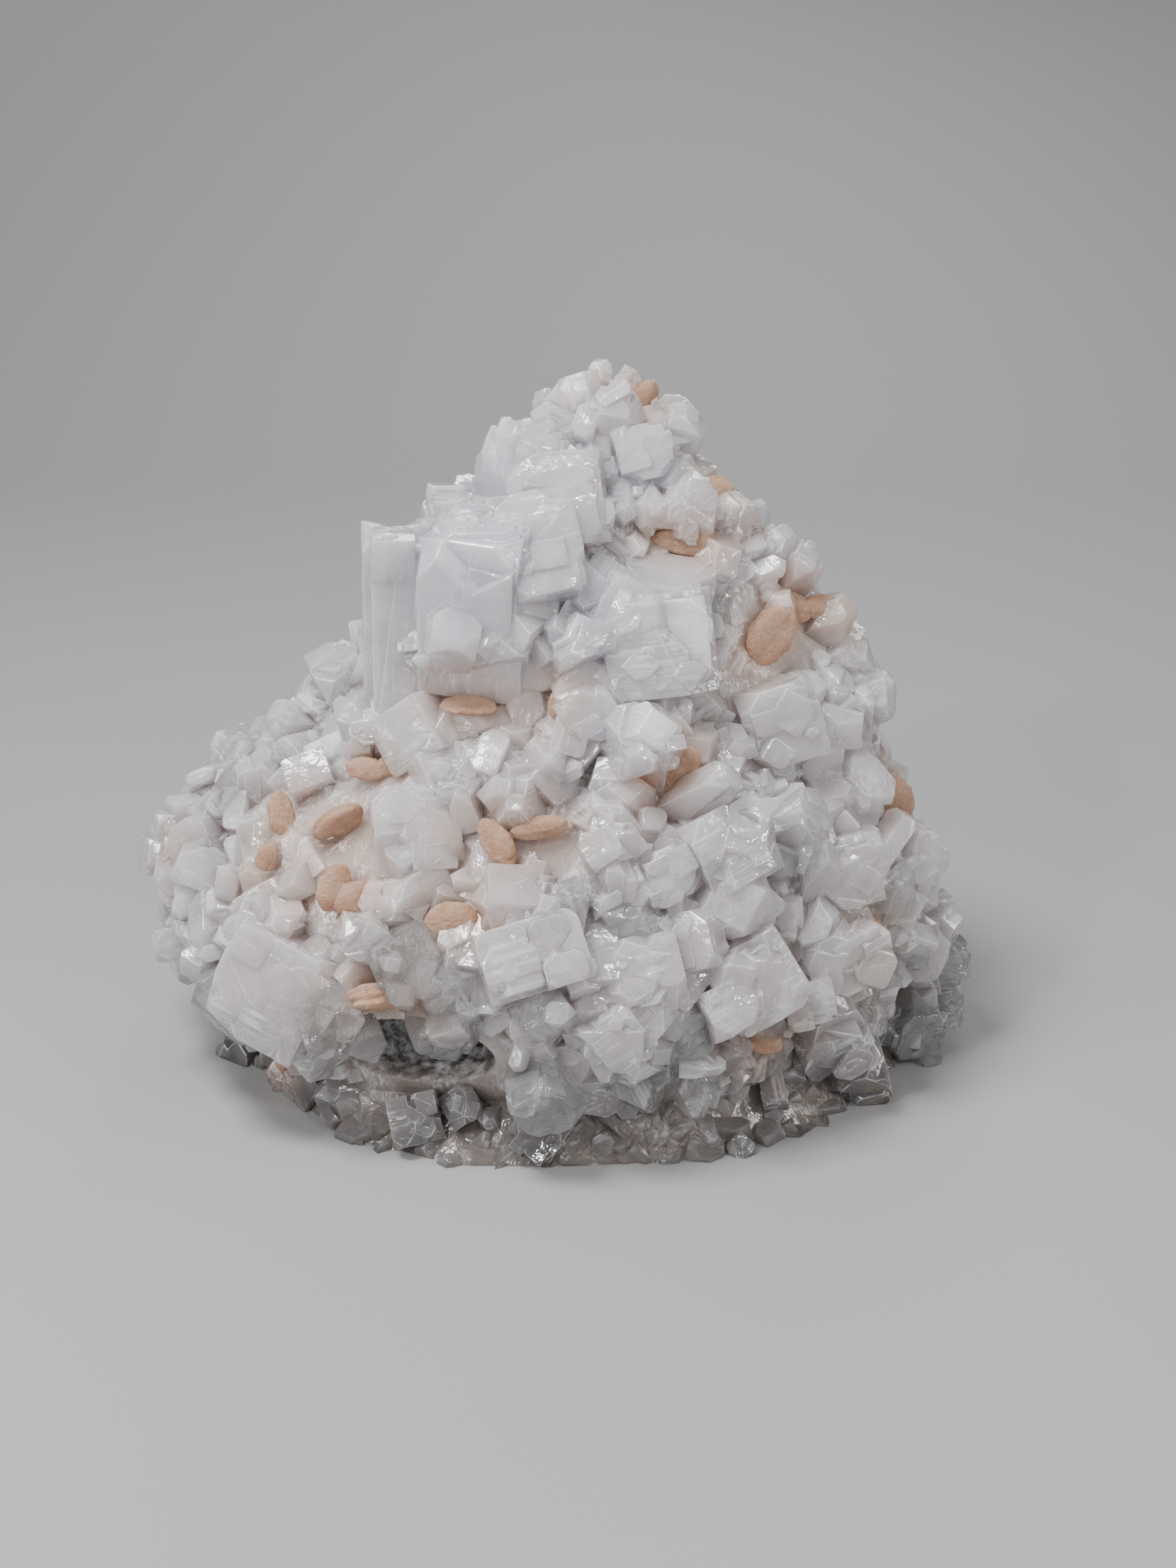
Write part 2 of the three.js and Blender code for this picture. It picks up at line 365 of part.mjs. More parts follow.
// A sheaf lies on the mound's skin, risen until it shows among the crystals that stand there.
function placedSheaves() {
  const lift = 4.5;
  const shown = SHEAVES.map((sheaf) => {
    const point = seenOnMound(sheaf.x, sheaf.y).addScaledVector(forward, -lift);
    const matrix = lying(point, new THREE.Vector3(...sheaf.along), new THREE.Vector3(...sheaf.face));
    return { ...sheaf, point, matrix };
  });
  const hidden = HIDDEN_SHEAVES.map((sheaf) => {
    const angle = sheaf.angle * DEGREE;
    const normal = skinNormal(angle, sheaf.z);
    const point = skin(angle, sheaf.z).addScaledVector(normal, lift);
    const sideways = new THREE.Vector3(0, 0, 1).cross(normal).normalize();
    const along = sideways.applyAxisAngle(normal, sheaf.spin * DEGREE);
    return { ...sheaf, point, matrix: lying(point, along, normal) };
  });
  return [...shown, ...hidden];
}

function solidOf(geometry, matrix = new THREE.Matrix4()) {
  const bare = geometry.clone().applyMatrix4(matrix);
  bare.deleteAttribute("normal");
  bare.deleteAttribute("uv");
  const merged = mergeVertices(bare, 1e-4);
  return new wasm.Manifold(
    new wasm.Mesh({
      numProp: 3,
      vertProperties: merged.getAttribute("position").array,
      triVerts: new Uint32Array(merged.index.array),
    }),
  );
}

function geometryOf(solid) {
  const mesh = solid.getMesh();
  const geometry = new THREE.BufferGeometry();
  geometry.setAttribute("position", new THREE.BufferAttribute(mesh.vertProperties, 3));
  geometry.setIndex(new THREE.BufferAttribute(mesh.triVerts, 1));
  geometry.computeVertexNormals();
  return geometry;
}

const largest = (solid) => solid.decompose().reduce((a, b) => (a.volume() > b.volume() ? a : b));

// Everything below the foot is cut off flat.
function belowFoot() {
  const size = 400;
  const box = new THREE.BoxGeometry(size, size, size);
  box.translate(0, 0, -size / 2);
  return solidOf(box);
}

function apophylliteSolid(sheaves) {
  const shown = shownCrystals();
  let mass = solidOf(mound.geometry);
  for (const crystal of [...shown, ...coverCrystals(shown, sheaves)]) {
    mass = mass.add(solidOf(crystalGeometry(crystal), standing(crystal.point, crystal.axis, crystal.turn)));
  }
  mass = mass.subtract(belowFoot());
  for (const sheaf of sheaves) mass = mass.subtract(sheafSolid(sheaf, SHEAF_GAP));
  return largest(mass);
}

const apophyllite = new THREE.MeshStandardMaterial({ color: 0xdcdde0, roughness: 0.25, metalness: 0 });
const stilbite = new THREE.MeshStandardMaterial({ color: 0xd9a07c, roughness: 0.5, metalness: 0 });

const cluster = new THREE.Group();
const sheaves = placedSheaves();
const crystals = new THREE.Mesh(geometryOf(apophylliteSolid(sheaves)), apophyllite);
crystals.name = "apophyllite_crystals";
cluster.add(crystals);
for (const sheaf of sheaves) {
  const mesh = new THREE.Mesh(geometryOf(sheafSolid(sheaf, 0)), stilbite);
  mesh.name = `stilbite_${sheaf.name}`;
  cluster.add(mesh);
}

const box = new THREE.Box3().setFromObject(cluster);
const middle = box.getCenter(new THREE.Vector3());
cluster.position.set(-middle.x, -middle.y, -box.min.z);

export default cluster;
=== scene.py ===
"""Apophyllite and stilbite cluster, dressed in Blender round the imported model.

The mound and its crystals are worked out as in the part's source, in millimetres, and each mesh is turned
into the frame's metres as it is made. The mass and the milky crystals are one joined piece, the cloudy and
the clear crystals are two more, and each stilbite sheaf is a piece of its own.
"""
import math
from itertools import combinations
from typing import NamedTuple

import bpy
import numpy as np
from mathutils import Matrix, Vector
from mathutils.bvhtree import BVHTree


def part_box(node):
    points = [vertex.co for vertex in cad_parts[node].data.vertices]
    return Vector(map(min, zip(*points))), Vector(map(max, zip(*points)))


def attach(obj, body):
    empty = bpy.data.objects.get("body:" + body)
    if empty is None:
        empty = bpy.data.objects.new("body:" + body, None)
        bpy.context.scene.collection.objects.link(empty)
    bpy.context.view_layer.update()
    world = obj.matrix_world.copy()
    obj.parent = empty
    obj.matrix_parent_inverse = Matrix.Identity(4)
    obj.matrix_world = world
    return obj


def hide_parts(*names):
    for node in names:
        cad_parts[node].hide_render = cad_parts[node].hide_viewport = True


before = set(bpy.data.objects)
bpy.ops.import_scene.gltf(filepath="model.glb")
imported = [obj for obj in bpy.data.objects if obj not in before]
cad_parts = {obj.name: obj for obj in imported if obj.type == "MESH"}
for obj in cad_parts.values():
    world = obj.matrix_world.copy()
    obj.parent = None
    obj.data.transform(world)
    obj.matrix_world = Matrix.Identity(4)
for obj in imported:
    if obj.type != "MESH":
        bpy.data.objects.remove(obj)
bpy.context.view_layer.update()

MM = 0.001

# The photograph's viewpoint, in the mound's own millimetres: its foot is at 0 and its peak over the middle.
ELEVATION = math.radians(22)
DISTANCE = 560.0
AIM = np.array([0.0, 0.0, 68.0])
PICTURE_WIDTH, PICTURE_HEIGHT = 1659, 2212
PIXEL = 0.175
MOUND_PIXEL = (790, 1150)
AHEAD = np.array([0.0, math.cos(ELEVATION), -math.sin(ELEVATION)])
ABOVE = np.array([0.0, math.sin(ELEVATION), math.cos(ELEVATION)])
EYE = AIM - DISTANCE * AHEAD

# Outline of the mound under the crystals: height, and how far it reaches to the left, right, front and back.
LEVELS = (
    (0, 91, 88, 70, 60),
    (11, 91, 86, 60, 64),
    (30, 104, 86, 68, 68),
    (50, 103, 84, 66, 67),
    (68, 91, 77, 57, 61),
    (86, 66, 69, 45, 54),
    (104, 52, 58, 36, 46),
    (122, 40, 46, 28, 37),
    (140, 25, 32, 19, 28),
    (154, 15, 21, 10, 20),
    (162, 8, 13, 4, 14),
)
MOUND_SIDES = 16
# How square the outline is from above: 2 is an ellipse, less is more pointed, more is squarer.
SQUARE_BACK, SQUARE_FRONT_LEFT, SQUARE_FRONT_RIGHT = 2.2, 1.85, 1.55
LUMP_SIZE, LUMPS_AROUND, LUMP_TWIST = 0.045, 5, 0.07

# Apophyllite's pyramid faces stand over the prism's edges, 60.4 degrees from flat.
PYRAMID_SLOPE = math.tan(math.radians(60.4)) / math.sqrt(2)
SMALLEST_TIP = 0.08
ROOT = 0.55

# Crystals that the photograph shows: pixel of the foot, width, depth and rise in mm, the way it points,
# degrees about that, bluntness (0 a point, 1 a plain block), and how clear it is.
SHOWN_CRYSTALS = (
    # The peak
    (938, 602, 13, 13, 9, (0.3, -0.8, 0.5), 20, 0.5, 0.1),
    (958, 584, 12, 12, 8, (0.7, -0.35, 0.6), 30, 0.4, 0.1),
    (852, 548, 7, 7, 9, (-0.2, -0.2, 1), 15, 0.2, 0),
    (886, 545, 7, 7, 9, (0.05, -0.2, 1), 40, 0.15, 0),
    (868, 590, 12, 12, 9, (0, -0.8, 0.6), 35, 0.4, 0),
    (790, 620, 12, 12, 9, (-0.5, -0.6, 0.6), 35, 0.3, 0),
    (727, 688, 14, 14, 18, (-0.12, -0.2, 1), 40, 0.1, 0.3),
    (762, 665, 12, 12, 12, (-0.1, -0.5, 0.9), 5, 0.4, 0),
    (684, 696, 6, 6, 8, (-0.9, -0.2, 0.3), 0, 0.4, 0),
    (905, 640, 13, 13, 8, (0.1, -0.95, 0.3), 10, 0.6, 0),
    (916, 714, 9, 9, 8, (0.1, -0.9, -0.1), 42, 0.35, 0.3),
    (964, 718, 14, 14, 9, (0.25, -0.9, 0.15), 38, 0.5, 0),
    (1015, 728, 12, 12, 8, (0.6, -0.75, 0.1), 25, 0.45, 0),
    (792, 712, 22, 22, 9, (-0.15, -0.9, 0.4), 12, 0.75, 0),
    # The tall blocks of the left shoulder
    (574, 955, 20, 19, 37, (0.05, -0.1, 1), 8, 0.66, 0),
    (640, 800, 13, 13, 19, (0.02, 0.1, 1), 30, 0.3, 0),
    (680, 880, 25, 25, 28, (0.03, -0.22, 1), -12, 0.75, 0),
    (736, 800, 25, 25, 17, (0.08, -0.82, 0.57), 20, 0.7, 0),
    (706, 905, 17, 17, 17, (0.45, -0.65, 0.6), 28, 0.3, 0),
    (632, 905, 18, 14, 12, (-0.25, -0.85, 0.3), 12, 0.88, 0.2),
    (812, 908, 16, 12, 12, (0.2, -0.8, 0.55), 40, 0.35, 0),
    # The square block of the middle and its ledge
    (930, 905, 26, 24, 11, (0.04, -0.97, 0.2), 5, 0.82, 0),
    (940, 830, 22, 12, 6, (0.08, -0.6, 0.8), -4, 0.85, 0),
    # The right shoulder
    (1004, 792, 15, 15, 8, (0.4, -0.85, 0.25), 25, 0.3, 0),
    (1082, 785, 9, 9, 9, (0.4, -0.4, 0.8), 15, 0.3, 0.1),
    (1122, 800, 10, 10, 9, (0.5, -0.4, 0.75), 40, 0.4, 0.1),
    (1188, 860, 10, 10, 9, (0.6, -0.4, 0.65), 20, 0.35, 0.2),
    (1204, 916, 10, 10, 7, (0.85, -0.3, 0.35), 30, 0.3, 0.3),
    (1232, 975, 11, 11, 9, (0.85, -0.4, 0.2), 10, 0.45, 0.2),
    (1094, 1015, 19, 19, 10, (0.15, -0.95, 0.2), 14, 0.7, 0),
    (1172, 1022, 16, 16, 10, (0.35, -0.9, 0.05), 40, 0.3, 0.1),
    (1204, 1100, 15, 15, 11, (0.4, -0.85, -0.3), 42, 0.2, 0.2),
    (1274, 1206, 14, 14, 9, (0.6, -0.75, 0.2), 33, 0.5, 0.2),
    (1192, 1220, 17, 17, 8, (0.25, -0.95, 0.15), 8, 0.8, 0.1),
    # The middle
    (828, 1000, 13, 13, 9, (0.1, -0.95, 0.15), 30, 0.55, 0),
    (895, 1048, 17, 17, 17, (0.3, -0.75, 0.45), 42, 0.35, 0.1),
    (776, 1072, 13, 13, 10, (0, -0.9, 0.35), 45, 0.1, 0.6),
    (672, 1072, 12, 12, 10, (-0.1, -0.8, 0.5), 30, 0.1, 0.3),
    (730, 1120, 17, 17, 10, (0, -0.85, 0.5), 38, 0.25, 0.3),
    (868, 1190, 15, 15, 11, (-0.25, -0.8, 0.5), 10, 0.4, 0.1),
    (880, 1245, 15, 15, 9, (-0.1, -1, 0), 40, 0.4, 0.1),
    (940, 1225, 13, 13, 10, (0.1, -0.95, 0.3), 20, 0.6, 0),
    (1022, 1200, 20, 20, 13, (0.2, -0.85, 0.45), 24, 0.72, 0),
    (948, 1140, 9, 7, 20, (0.65, -0.45, 0.55), 12, 0.5, 0.2),
    # The left lobe
    (442, 1100, 11, 9, 8, (-0.1, -0.7, 0.6), 12, 0.92, 0),
    (645, 1108, 12, 12, 9, (0.1, -0.85, 0.5), 8, 0.5, 0.4),
    (296, 1188, 13, 13, 9, (-0.45, -0.85, 0.25), 40, 0.7, 0.3),
    (484, 966, 12, 12, 9, (-0.3, -0.3, 0.9), 20, 0.5, 0),
    (398, 1020, 10, 10, 8, (-0.6, -0.3, 0.75), 10, 0.3, 0.1),
    (540, 1040, 16, 10, 8, (-0.05, -0.75, 0.65), 5, 0.7, 0.1),
    (592, 1180, 22, 22, 9, (0.12, -0.8, 0.55), 16, 0.82, 0.1),
    (238, 1190, 17, 17, 7, (-0.85, -0.45, 0.2), 14, 0.6, 0.2),
    (264, 1280, 12, 12, 8, (-0.7, -0.65, 0.1), 35, 0.4, 0.4),
    (398, 1385, 27, 27, 13, (-0.15, -0.85, 0.2), -24, 0.78, 0.2),
    (470, 1422, 18, 18, 14, (0.25, -0.9, -0.15), 16, 0.55, 0.7),
    (380, 1300, 17, 17, 9, (-0.2, -0.9, 0.3), 33, 0.5, 0.2),
    (520, 1316, 12, 12, 9, (0, -0.95, 0.2), 20, 0.5, 0.5),
    (576, 1350, 16, 16, 11, (0.1, -1, 0.15), 28, 0.5, 0.8),
    (642, 1408, 15, 15, 16, (0.08, -0.7, 0.6), 42, 0.1, 0.8),
    (630, 1446, 14, 14, 8, (0.05, -0.85, -0.45), 30, 0.3, 0.7),
    # The broad blocks of the lower middle
    (750, 1348, 25, 18, 12, (0.12, -0.85, 0.5), 13, 0.85, 0),
    (742, 1280, 20, 20, 10, (0.05, -0.65, 0.75), 34, 0.3, 0),
    (976, 1330, 14, 14, 10, (-0.3, -0.85, 0.4), 22, 0.7, 0.2),
    (1054, 1370, 20, 20, 12, (0.25, -0.95, 0.15), 28, 0.8, 0.4),
    (772, 1420, 12, 12, 11, (-0.1, -0.9, 0.3), 30, 0.45, 0.8),
    (906, 1378, 18, 18, 11, (0, -0.85, 0.5), 14, 0.6, 0.2),
    (1015, 1425, 12, 12, 12, (0.2, -0.8, 0.45), 20, 0.65, 0.2),
    (860, 1455, 17, 17, 10, (0, -1, 0.05), 36, 0.6, 0.6),
    (776, 1512, 15, 15, 13, (-0.1, -0.85, -0.3), 33, 0.6, 0.7),
    (978, 1520, 11, 11, 11, (0, -0.8, -0.5), 44, 0.1, 0.8),
    (1085, 1515, 6, 6, 9, (0.15, -0.85, -0.5), 12, 0.95, 0.2),
    # The right lobe
    (1266, 1324, 11, 11, 10, (0.45, -0.85, 0.2), 20, 0.5, 0.9),
    (1186, 1345, 21, 21, 9, (0.25, -0.95, 0.05), 22, 0.7, 0.2),
    (1336, 1362, 12, 12, 9, (0.9, -0.35, 0.05), 15, 0.35, 0.9),
    (1332, 1420, 10, 10, 10, (0.9, -0.35, -0.2), 38, 0.3, 0.9),
    (1140, 1408, 12, 12, 13, (-0.05, -0.9, 0.3), 12, 0.75, 0.2),
    (1168, 1448, 18, 18, 12, (0.1, -0.97, -0.1), 30, 0.5, 0.4),
    (1200, 1492, 15, 15, 12, (0.15, -0.85, -0.4), 14, 0.6, 0.5),
    (1266, 1436, 15, 15, 10, (0.45, -0.85, -0.1), 36, 0.6, 0.7),
    (1290, 1482, 12, 12, 10, (0.5, -0.75, -0.4), 10, 0.5, 0.7),
    # The lower lip under the hollow
    (436, 1532, 10, 10, 11, (0, -0.5, 0.8), 40, 0.1, 0.6),
    (592, 1578, 12, 12, 8, (-0.1, -0.85, 0.45), 16, 0.8, 0.2),
    (652, 1560, 9, 9, 9, (0, -0.8, 0.5), 32, 0.4, 0.5),
    (330, 1492, 16, 16, 8, (-0.55, -0.75, 0.2), 24, 0.5, 0.3),
)

# The even, jittered cover of the sides and the back, as in the part's source.
COVER = {
    "seed": 7, "first_z": 8, "last_z": 158, "row": 20, "spacing": 29, "fewest": 7, "jitter": 0.6,
    "least": 17, "most": 30, "rise": 0.4, "tilt": 0.4, "upward": 0.15,
    "clear_of_shown": 16, "clear_of_sheaves": 13, "back_starts": 22, "front_wide": 14,
    "lip_height": 16, "lip_wide": 13,
}

# Stilbite sheaves that the photograph shows: pixel, length, width and thickness in mm, the way they lie,
# the way their broad side looks, and the waist (1 is an oval, less a bow tie).
SHEAVES = (
    ("bow_tie", 727, 1180, 24, 8.5, 6, (0.95, -0.1, 0.15), (0, -0.8, 0.6), 0.4),
    ("oval_middle", 640, 1296, 13, 8.5, 6, (1, -0.1, 0.05), (0, -0.85, 0.5), 1),
    ("leaf_left", 480, 1166, 14.5, 8.5, 5, (0.75, -0.2, 0.6), (0.1, -0.8, -0.3), 1),
    ("fan_left", 486, 1258, 15, 11, 6, (0.75, -0.2, 0.6), (-0.2, -0.85, 0.3), 0.7),
    ("blade_upper", 662, 990, 14, 8, 2.6, (1, -0.15, -0.03), (0, -0.1, 1), 1),
    ("wedge_upper", 786, 996, 9, 5, 3.5, (0.2, -0.1, 1), (-0.4, -0.9, 0), 1),
    ("tall_far_left", 398, 1150, 12, 6.5, 4, (-0.25, -0.1, 1), (-0.2, -0.9, 0.2), 1),
    ("bud_far_left", 377, 1212, 9, 5, 4, (0.3, -0.3, 1), (-0.2, -0.9, 0.2), 1),
    ("bar_left", 538, 1080, 15, 7, 4, (1, -0.1, 0.1), (0, -0.8, 0.6), 0.8),
    ("edge_left", 256, 1215, 14, 5, 4, (0.2, -0.1, 1), (-0.6, -0.8, 0.1), 1),
    ("peak_right", 908, 532, 11, 8, 5, (0.3, -0.4, 1), (0.1, -0.9, 0.2), 0.7),
    ("peak_left", 812, 560, 11, 6, 5, (0.6, 0, 0.8), (-0.5, -0.7, 0.5), 1),
    ("spire_edge", 1034, 690, 14, 9, 7, (0.35, 0, -1), (0.5, -0.8, 0.2), 0.9),
    ("spire_foot", 968, 764, 17, 7, 5, (1, -0.1, -0.1), (0.1, -0.8, 0.5), 0.8),
    ("shoulder_right", 1146, 850, 17, 9, 6, (0.9, 0, -0.2), (0.3, -0.7, 0.6), 0.6),
    ("shoulder_low", 1086, 900, 17, 11, 5, (0.6, -0.1, 0.7), (0.2, -0.95, 0.2), 0.8),
    ("hollow_middle", 946, 1086, 15, 9, 6, (0.7, -0.1, 0.5), (0, -0.9, 0.4), 0.8),
    ("flank_right", 1264, 1130, 17, 11, 8, (0.5, 0, -0.8), (0.6, -0.8, 0), 0.8),
    ("shelf_low_left", 540, 1416, 19, 12, 6, (1, -0.1, -0.1), (0.1, -0.6, -0.7), 0.8),
    ("lip_left", 402, 1490, 11, 5, 4, (0.15, 0, 1), (-0.3, -0.9, 0), 1),
    ("low_right", 1072, 1460, 13, 8, 5, (0.8, -0.2, -0.5), (0.2, -0.9, 0.2), 1),
    ("lobe_right", 1232, 1326, 12, 6, 5, (0.1, -0.1, 1), (0.4, -0.9, 0.1), 1),
)

# Sheaves of the hidden sides: degrees round the mound from its right side, height, sizes, spin and waist.
HIDDEN_SHEAVES = (
    ("back_low", 70, 34, 19, 10, 6, 20, 0.5),
    ("back_high", 105, 96, 15, 9, 5, 70, 0.8),
    ("back_left", 140, 56, 17, 9, 6, 130, 0.5),
    ("back_right", 38, 74, 15, 8, 5, 100, 1),
    ("side_left", 172, 30, 14, 8, 5, 45, 0.8),
    ("back_peak", 80, 140, 12, 7, 5, 60, 1),
)
SHEAF_LIFT = 4.5

# Leaves of the sheaves that show more than one: place along and across the sheaf, length, width, degrees.
LEAVES = {
    "bow_tie": ((-4.0, -0.6, 13.5, 7.2, -60), (5.4, 2.0, 14.5, 5.2, 7)),
    "fan_left": ((-1.6, 2.0, 12.5, 7.6, 34), (1.6, -2.4, 12.0, 7.4, -8)),
    "bar_left": ((-3.4, -0.4, 10.0, 5.6, -12), (3.4, 0.6, 10.0, 5.4, 14)),
    "shoulder_right": ((-4.0, -0.8, 11.0, 6.6, -18), (3.6, 0.8, 11.5, 6.6, 12)),
    "back_low": ((-4.4, -0.8, 12.5, 7.6, -20), (4.4, 0.6, 12.5, 7.4, 16)),
    "back_left": ((-3.8, 0.6, 11.0, 7.0, 20), (3.8, -0.6, 11.0, 6.8, -14)),
    "peak_right": ((-1.0, 1.0, 9.5, 5.6, 24), (1.2, -1.4, 9.0, 5.4, -14)),
}

# The dark hollow under the overhang, low on the left: pixel of its middle, and its half sizes in mm.
HOLLOW_PIXEL = (582, 1484)
HOLLOW_REACH = np.array([20.0, 20.0, 9.5])
HOLLOW_CLEAR = 6.0


def random_draws(seed):
    """A function that draws a number from 0 to 1 at each call, the same ones each time for a seed."""
    state = seed

    def draw():
        nonlocal state
        state = (state * 1664525 + 1013904223) % 4294967296
        return state / 4294967296

    return draw


def random_vector(draw):
    return np.array([draw() - 0.5, draw() - 0.5, draw() - 0.5])


def unit(vector):
    vector = np.asarray(vector, float)
    return vector / np.linalg.norm(vector)


# The mound


def reaches_at(z):
    rows = np.array(LEVELS, float)
    return [float(np.interp(z, rows[:, 0], rows[:, side])) for side in (1, 2, 3, 4)]


def girth_at(z):
    left, right, front, back = reaches_at(z)
    return math.pi * math.hypot(left + right, front + back) / math.sqrt(2)


def skin(angle, z):
    """The point of the mound's skin at an angle round it, from +X towards the back, and a height."""
    left, right, front, back = reaches_at(z)
    across, away = math.cos(angle), math.sin(angle)
    sideways = abs(across) / (right if across > 0 else left)
    lengthways = abs(away) / (back if away > 0 else front)
    power = SQUARE_FRONT_RIGHT if across > 0 else SQUARE_FRONT_LEFT
    if away > 0:
        power = SQUARE_BACK
    plain = (sideways**power + lengthways**power) ** (-1 / power)
    radius = plain * (1 + LUMP_SIZE * math.sin(LUMPS_AROUND * angle + LUMP_TWIST * z))
    return np.array([radius * across, radius * away, z])


def skin_normal(angle, z):
    round_ = skin(angle + 0.05, z) - skin(angle - 0.05, z)
    up = skin(angle, z + 0.5) - skin(angle, z - 0.5)
    return unit(np.cross(round_, up))


def mound_solid():
    """Corners and triangles of the mound, foot to peak, facing out."""
    points, faces = [], []
    for level in LEVELS:
        for side in range(MOUND_SIDES):
            angle = 2 * math.pi * side / MOUND_SIDES
            points.append(skin(angle, level[0]))
    for row in range(len(LEVELS) - 1):
        low, high = row * MOUND_SIDES, (row + 1) * MOUND_SIDES
        for side in range(MOUND_SIDES):
            after = (side + 1) % MOUND_SIDES
            faces.append([low + side, low + after, high + after])
            faces.append([low + side, high + after, high + side])
    faces.append(list(reversed(range(MOUND_SIDES))))
    top = (len(LEVELS) - 1) * MOUND_SIDES
    faces.append([top + side for side in range(MOUND_SIDES)])
    return np.array(points), faces


mound_points, mound_faces = mound_solid()
mound_tree = BVHTree.FromPolygons([Vector(p) for p in mound_points], mound_faces)


def seen_on_mound(x, y):
    """Where the line of sight through a pixel meets the mound; a pixel just outside it moves inwards."""
    for step in range(30):
        inwards = step * 0.01
        pixel_x = x + inwards * (MOUND_PIXEL[0] - x)
        pixel_y = y + inwards * (MOUND_PIXEL[1] - y)
        sight = DISTANCE * AHEAD + (PICTURE_HEIGHT / 2 - pixel_y) * PIXEL * ABOVE
        sight[0] += (pixel_x - PICTURE_WIDTH / 2) * PIXEL
        hit = mound_tree.ray_cast(Vector(EYE), Vector(unit(sight)))[0]
        if hit is not None:
            return np.array(hit)
    raise ValueError(f"no mound at pixel {x}, {y}")


hollow_point = seen_on_mound(*HOLLOW_PIXEL)


def in_hollow(point, margin=0.0):
    return bool(np.linalg.norm((point - hollow_point) / (HOLLOW_REACH + margin)) < 1)


# Crystals


def standing(axis, turn):
    """Columns of a crystal's own axes: +Z to the axis, turned about it by degrees."""
    z = unit(axis)
    front = np.array([0.0, -1.0, 0.0])
    towards = front if abs(z @ front) < 0.85 else np.array([0.0, 0.0, 1.0])
    x = unit(np.cross(towards, z))
    y = np.cross(z, x)
    cos, sin = math.cos(math.radians(turn)), math.sin(math.radians(turn))
    return np.column_stack([x * cos + y * sin, y * cos - x * sin, z])


def lying(along, face):
    """Columns of a sheaf's own axes: +X along it, +Z out of its broad side."""
    z = unit(face)
    y = unit(np.cross(z, along))
    return np.column_stack([np.cross(y, z), y, z])


class Crystal:
    """A square prism with pyramid faces over its edges: half widths, rise and tip in mm, on its own axes."""

    def __init__(self, point, axes, a, b, rise, tip, clear=0.0):
        self.point, self.axes = np.asarray(point, float), axes
        self.a, self.b, self.rise = a, b, rise
        self.tip = max(tip, SMALLEST_TIP)
        self.clear = clear

    @property
    def apex(self):
        return self.rise + PYRAMID_SLOPE * self.tip

    @property
    def bottom(self):
        shoulder = self.apex - PYRAMID_SLOPE * (self.a + self.b)
        return min(shoulder, 0) - ROOT * (self.a + self.b)

    def planes(self):
        """Normals and offsets of the faces, in the crystal's own axes."""
        slant = math.sqrt(2 * PYRAMID_SLOPE**2 + 1)
        normals = [(1, 0, 0), (-1, 0, 0), (0, 1, 0), (0, -1, 0), (0, 0, 1), (0, 0, -1)]
        offsets = [self.a, self.a, self.b, self.b, self.rise, -self.bottom]
        for sx in (1, -1):
            for sy in (1, -1):
                normals.append((sx * PYRAMID_SLOPE / slant, sy * PYRAMID_SLOPE / slant, 1 / slant))
                offsets.append(self.apex / slant)
        return np.array(normals, float), np.array(offsets, float)

    def holds(self, point, margin=0.0):
        """Whether a point is inside the crystal, deeper than the margin."""
        normals, offsets = self.planes()
        return bool((normals @ (self.axes.T @ (point - self.point)) <= offsets - margin).all())


TRIOS = {}
SHORTEST_EDGE = 0.08


def convex(normals, offsets):
    """Corners and faces of the solid inside all the planes, from each corner where three planes meet."""
    count = len(offsets)
    if count not in TRIOS:
        TRIOS[count] = np.array(list(combinations(range(count), 3)))
    trios = TRIOS[count]
    systems = normals[trios]
    solvable = np.abs(np.linalg.det(systems)) > 1e-4
    points = np.linalg.solve(systems[solvable], offsets[trios[solvable]][..., None])[..., 0]
    inside = (points @ normals.T <= offsets + 1e-6).all(axis=1)
    points = np.unique(np.round(points[inside], 4), axis=0)
    near = np.linalg.norm(points[:, None] - points[None], axis=2) < SHORTEST_EDGE
    first = near.argmax(axis=1)
    faces = []
    for normal, offset in zip(normals, offsets):
        corners = np.nonzero(np.abs(points @ normal - offset) < 3e-4)[0]
        if len(corners) < 3:
            continue
        centre = points[corners].mean(axis=0)
        across = unit(points[corners[0]] - centre)
        other = np.cross(normal, across)
        rays = points[corners] - centre
        order = first[corners[np.argsort(np.arctan2(rays @ other, rays @ across))]].tolist()
        face = [corner for i, corner in enumerate(order) if corner != order[i - 1]]
        if len(set(face)) > 2:
            faces.append(face)
    kept, where = np.unique([corner for face in faces for corner in face], return_inverse=True)
    where = iter(where.tolist())
    return points[kept], [[next(where) for _ in face] for face in faces]


def is_closed(faces):
    """Whether every edge has one face on each side of it."""
    edges = {(face[i - 1], corner) for face in faces for i, corner in enumerate(face)}
    count = sum(len(face) for face in faces)
    return len(faces) > 3 and len(edges) == count and all((b, a) in edges for a, b in edges)


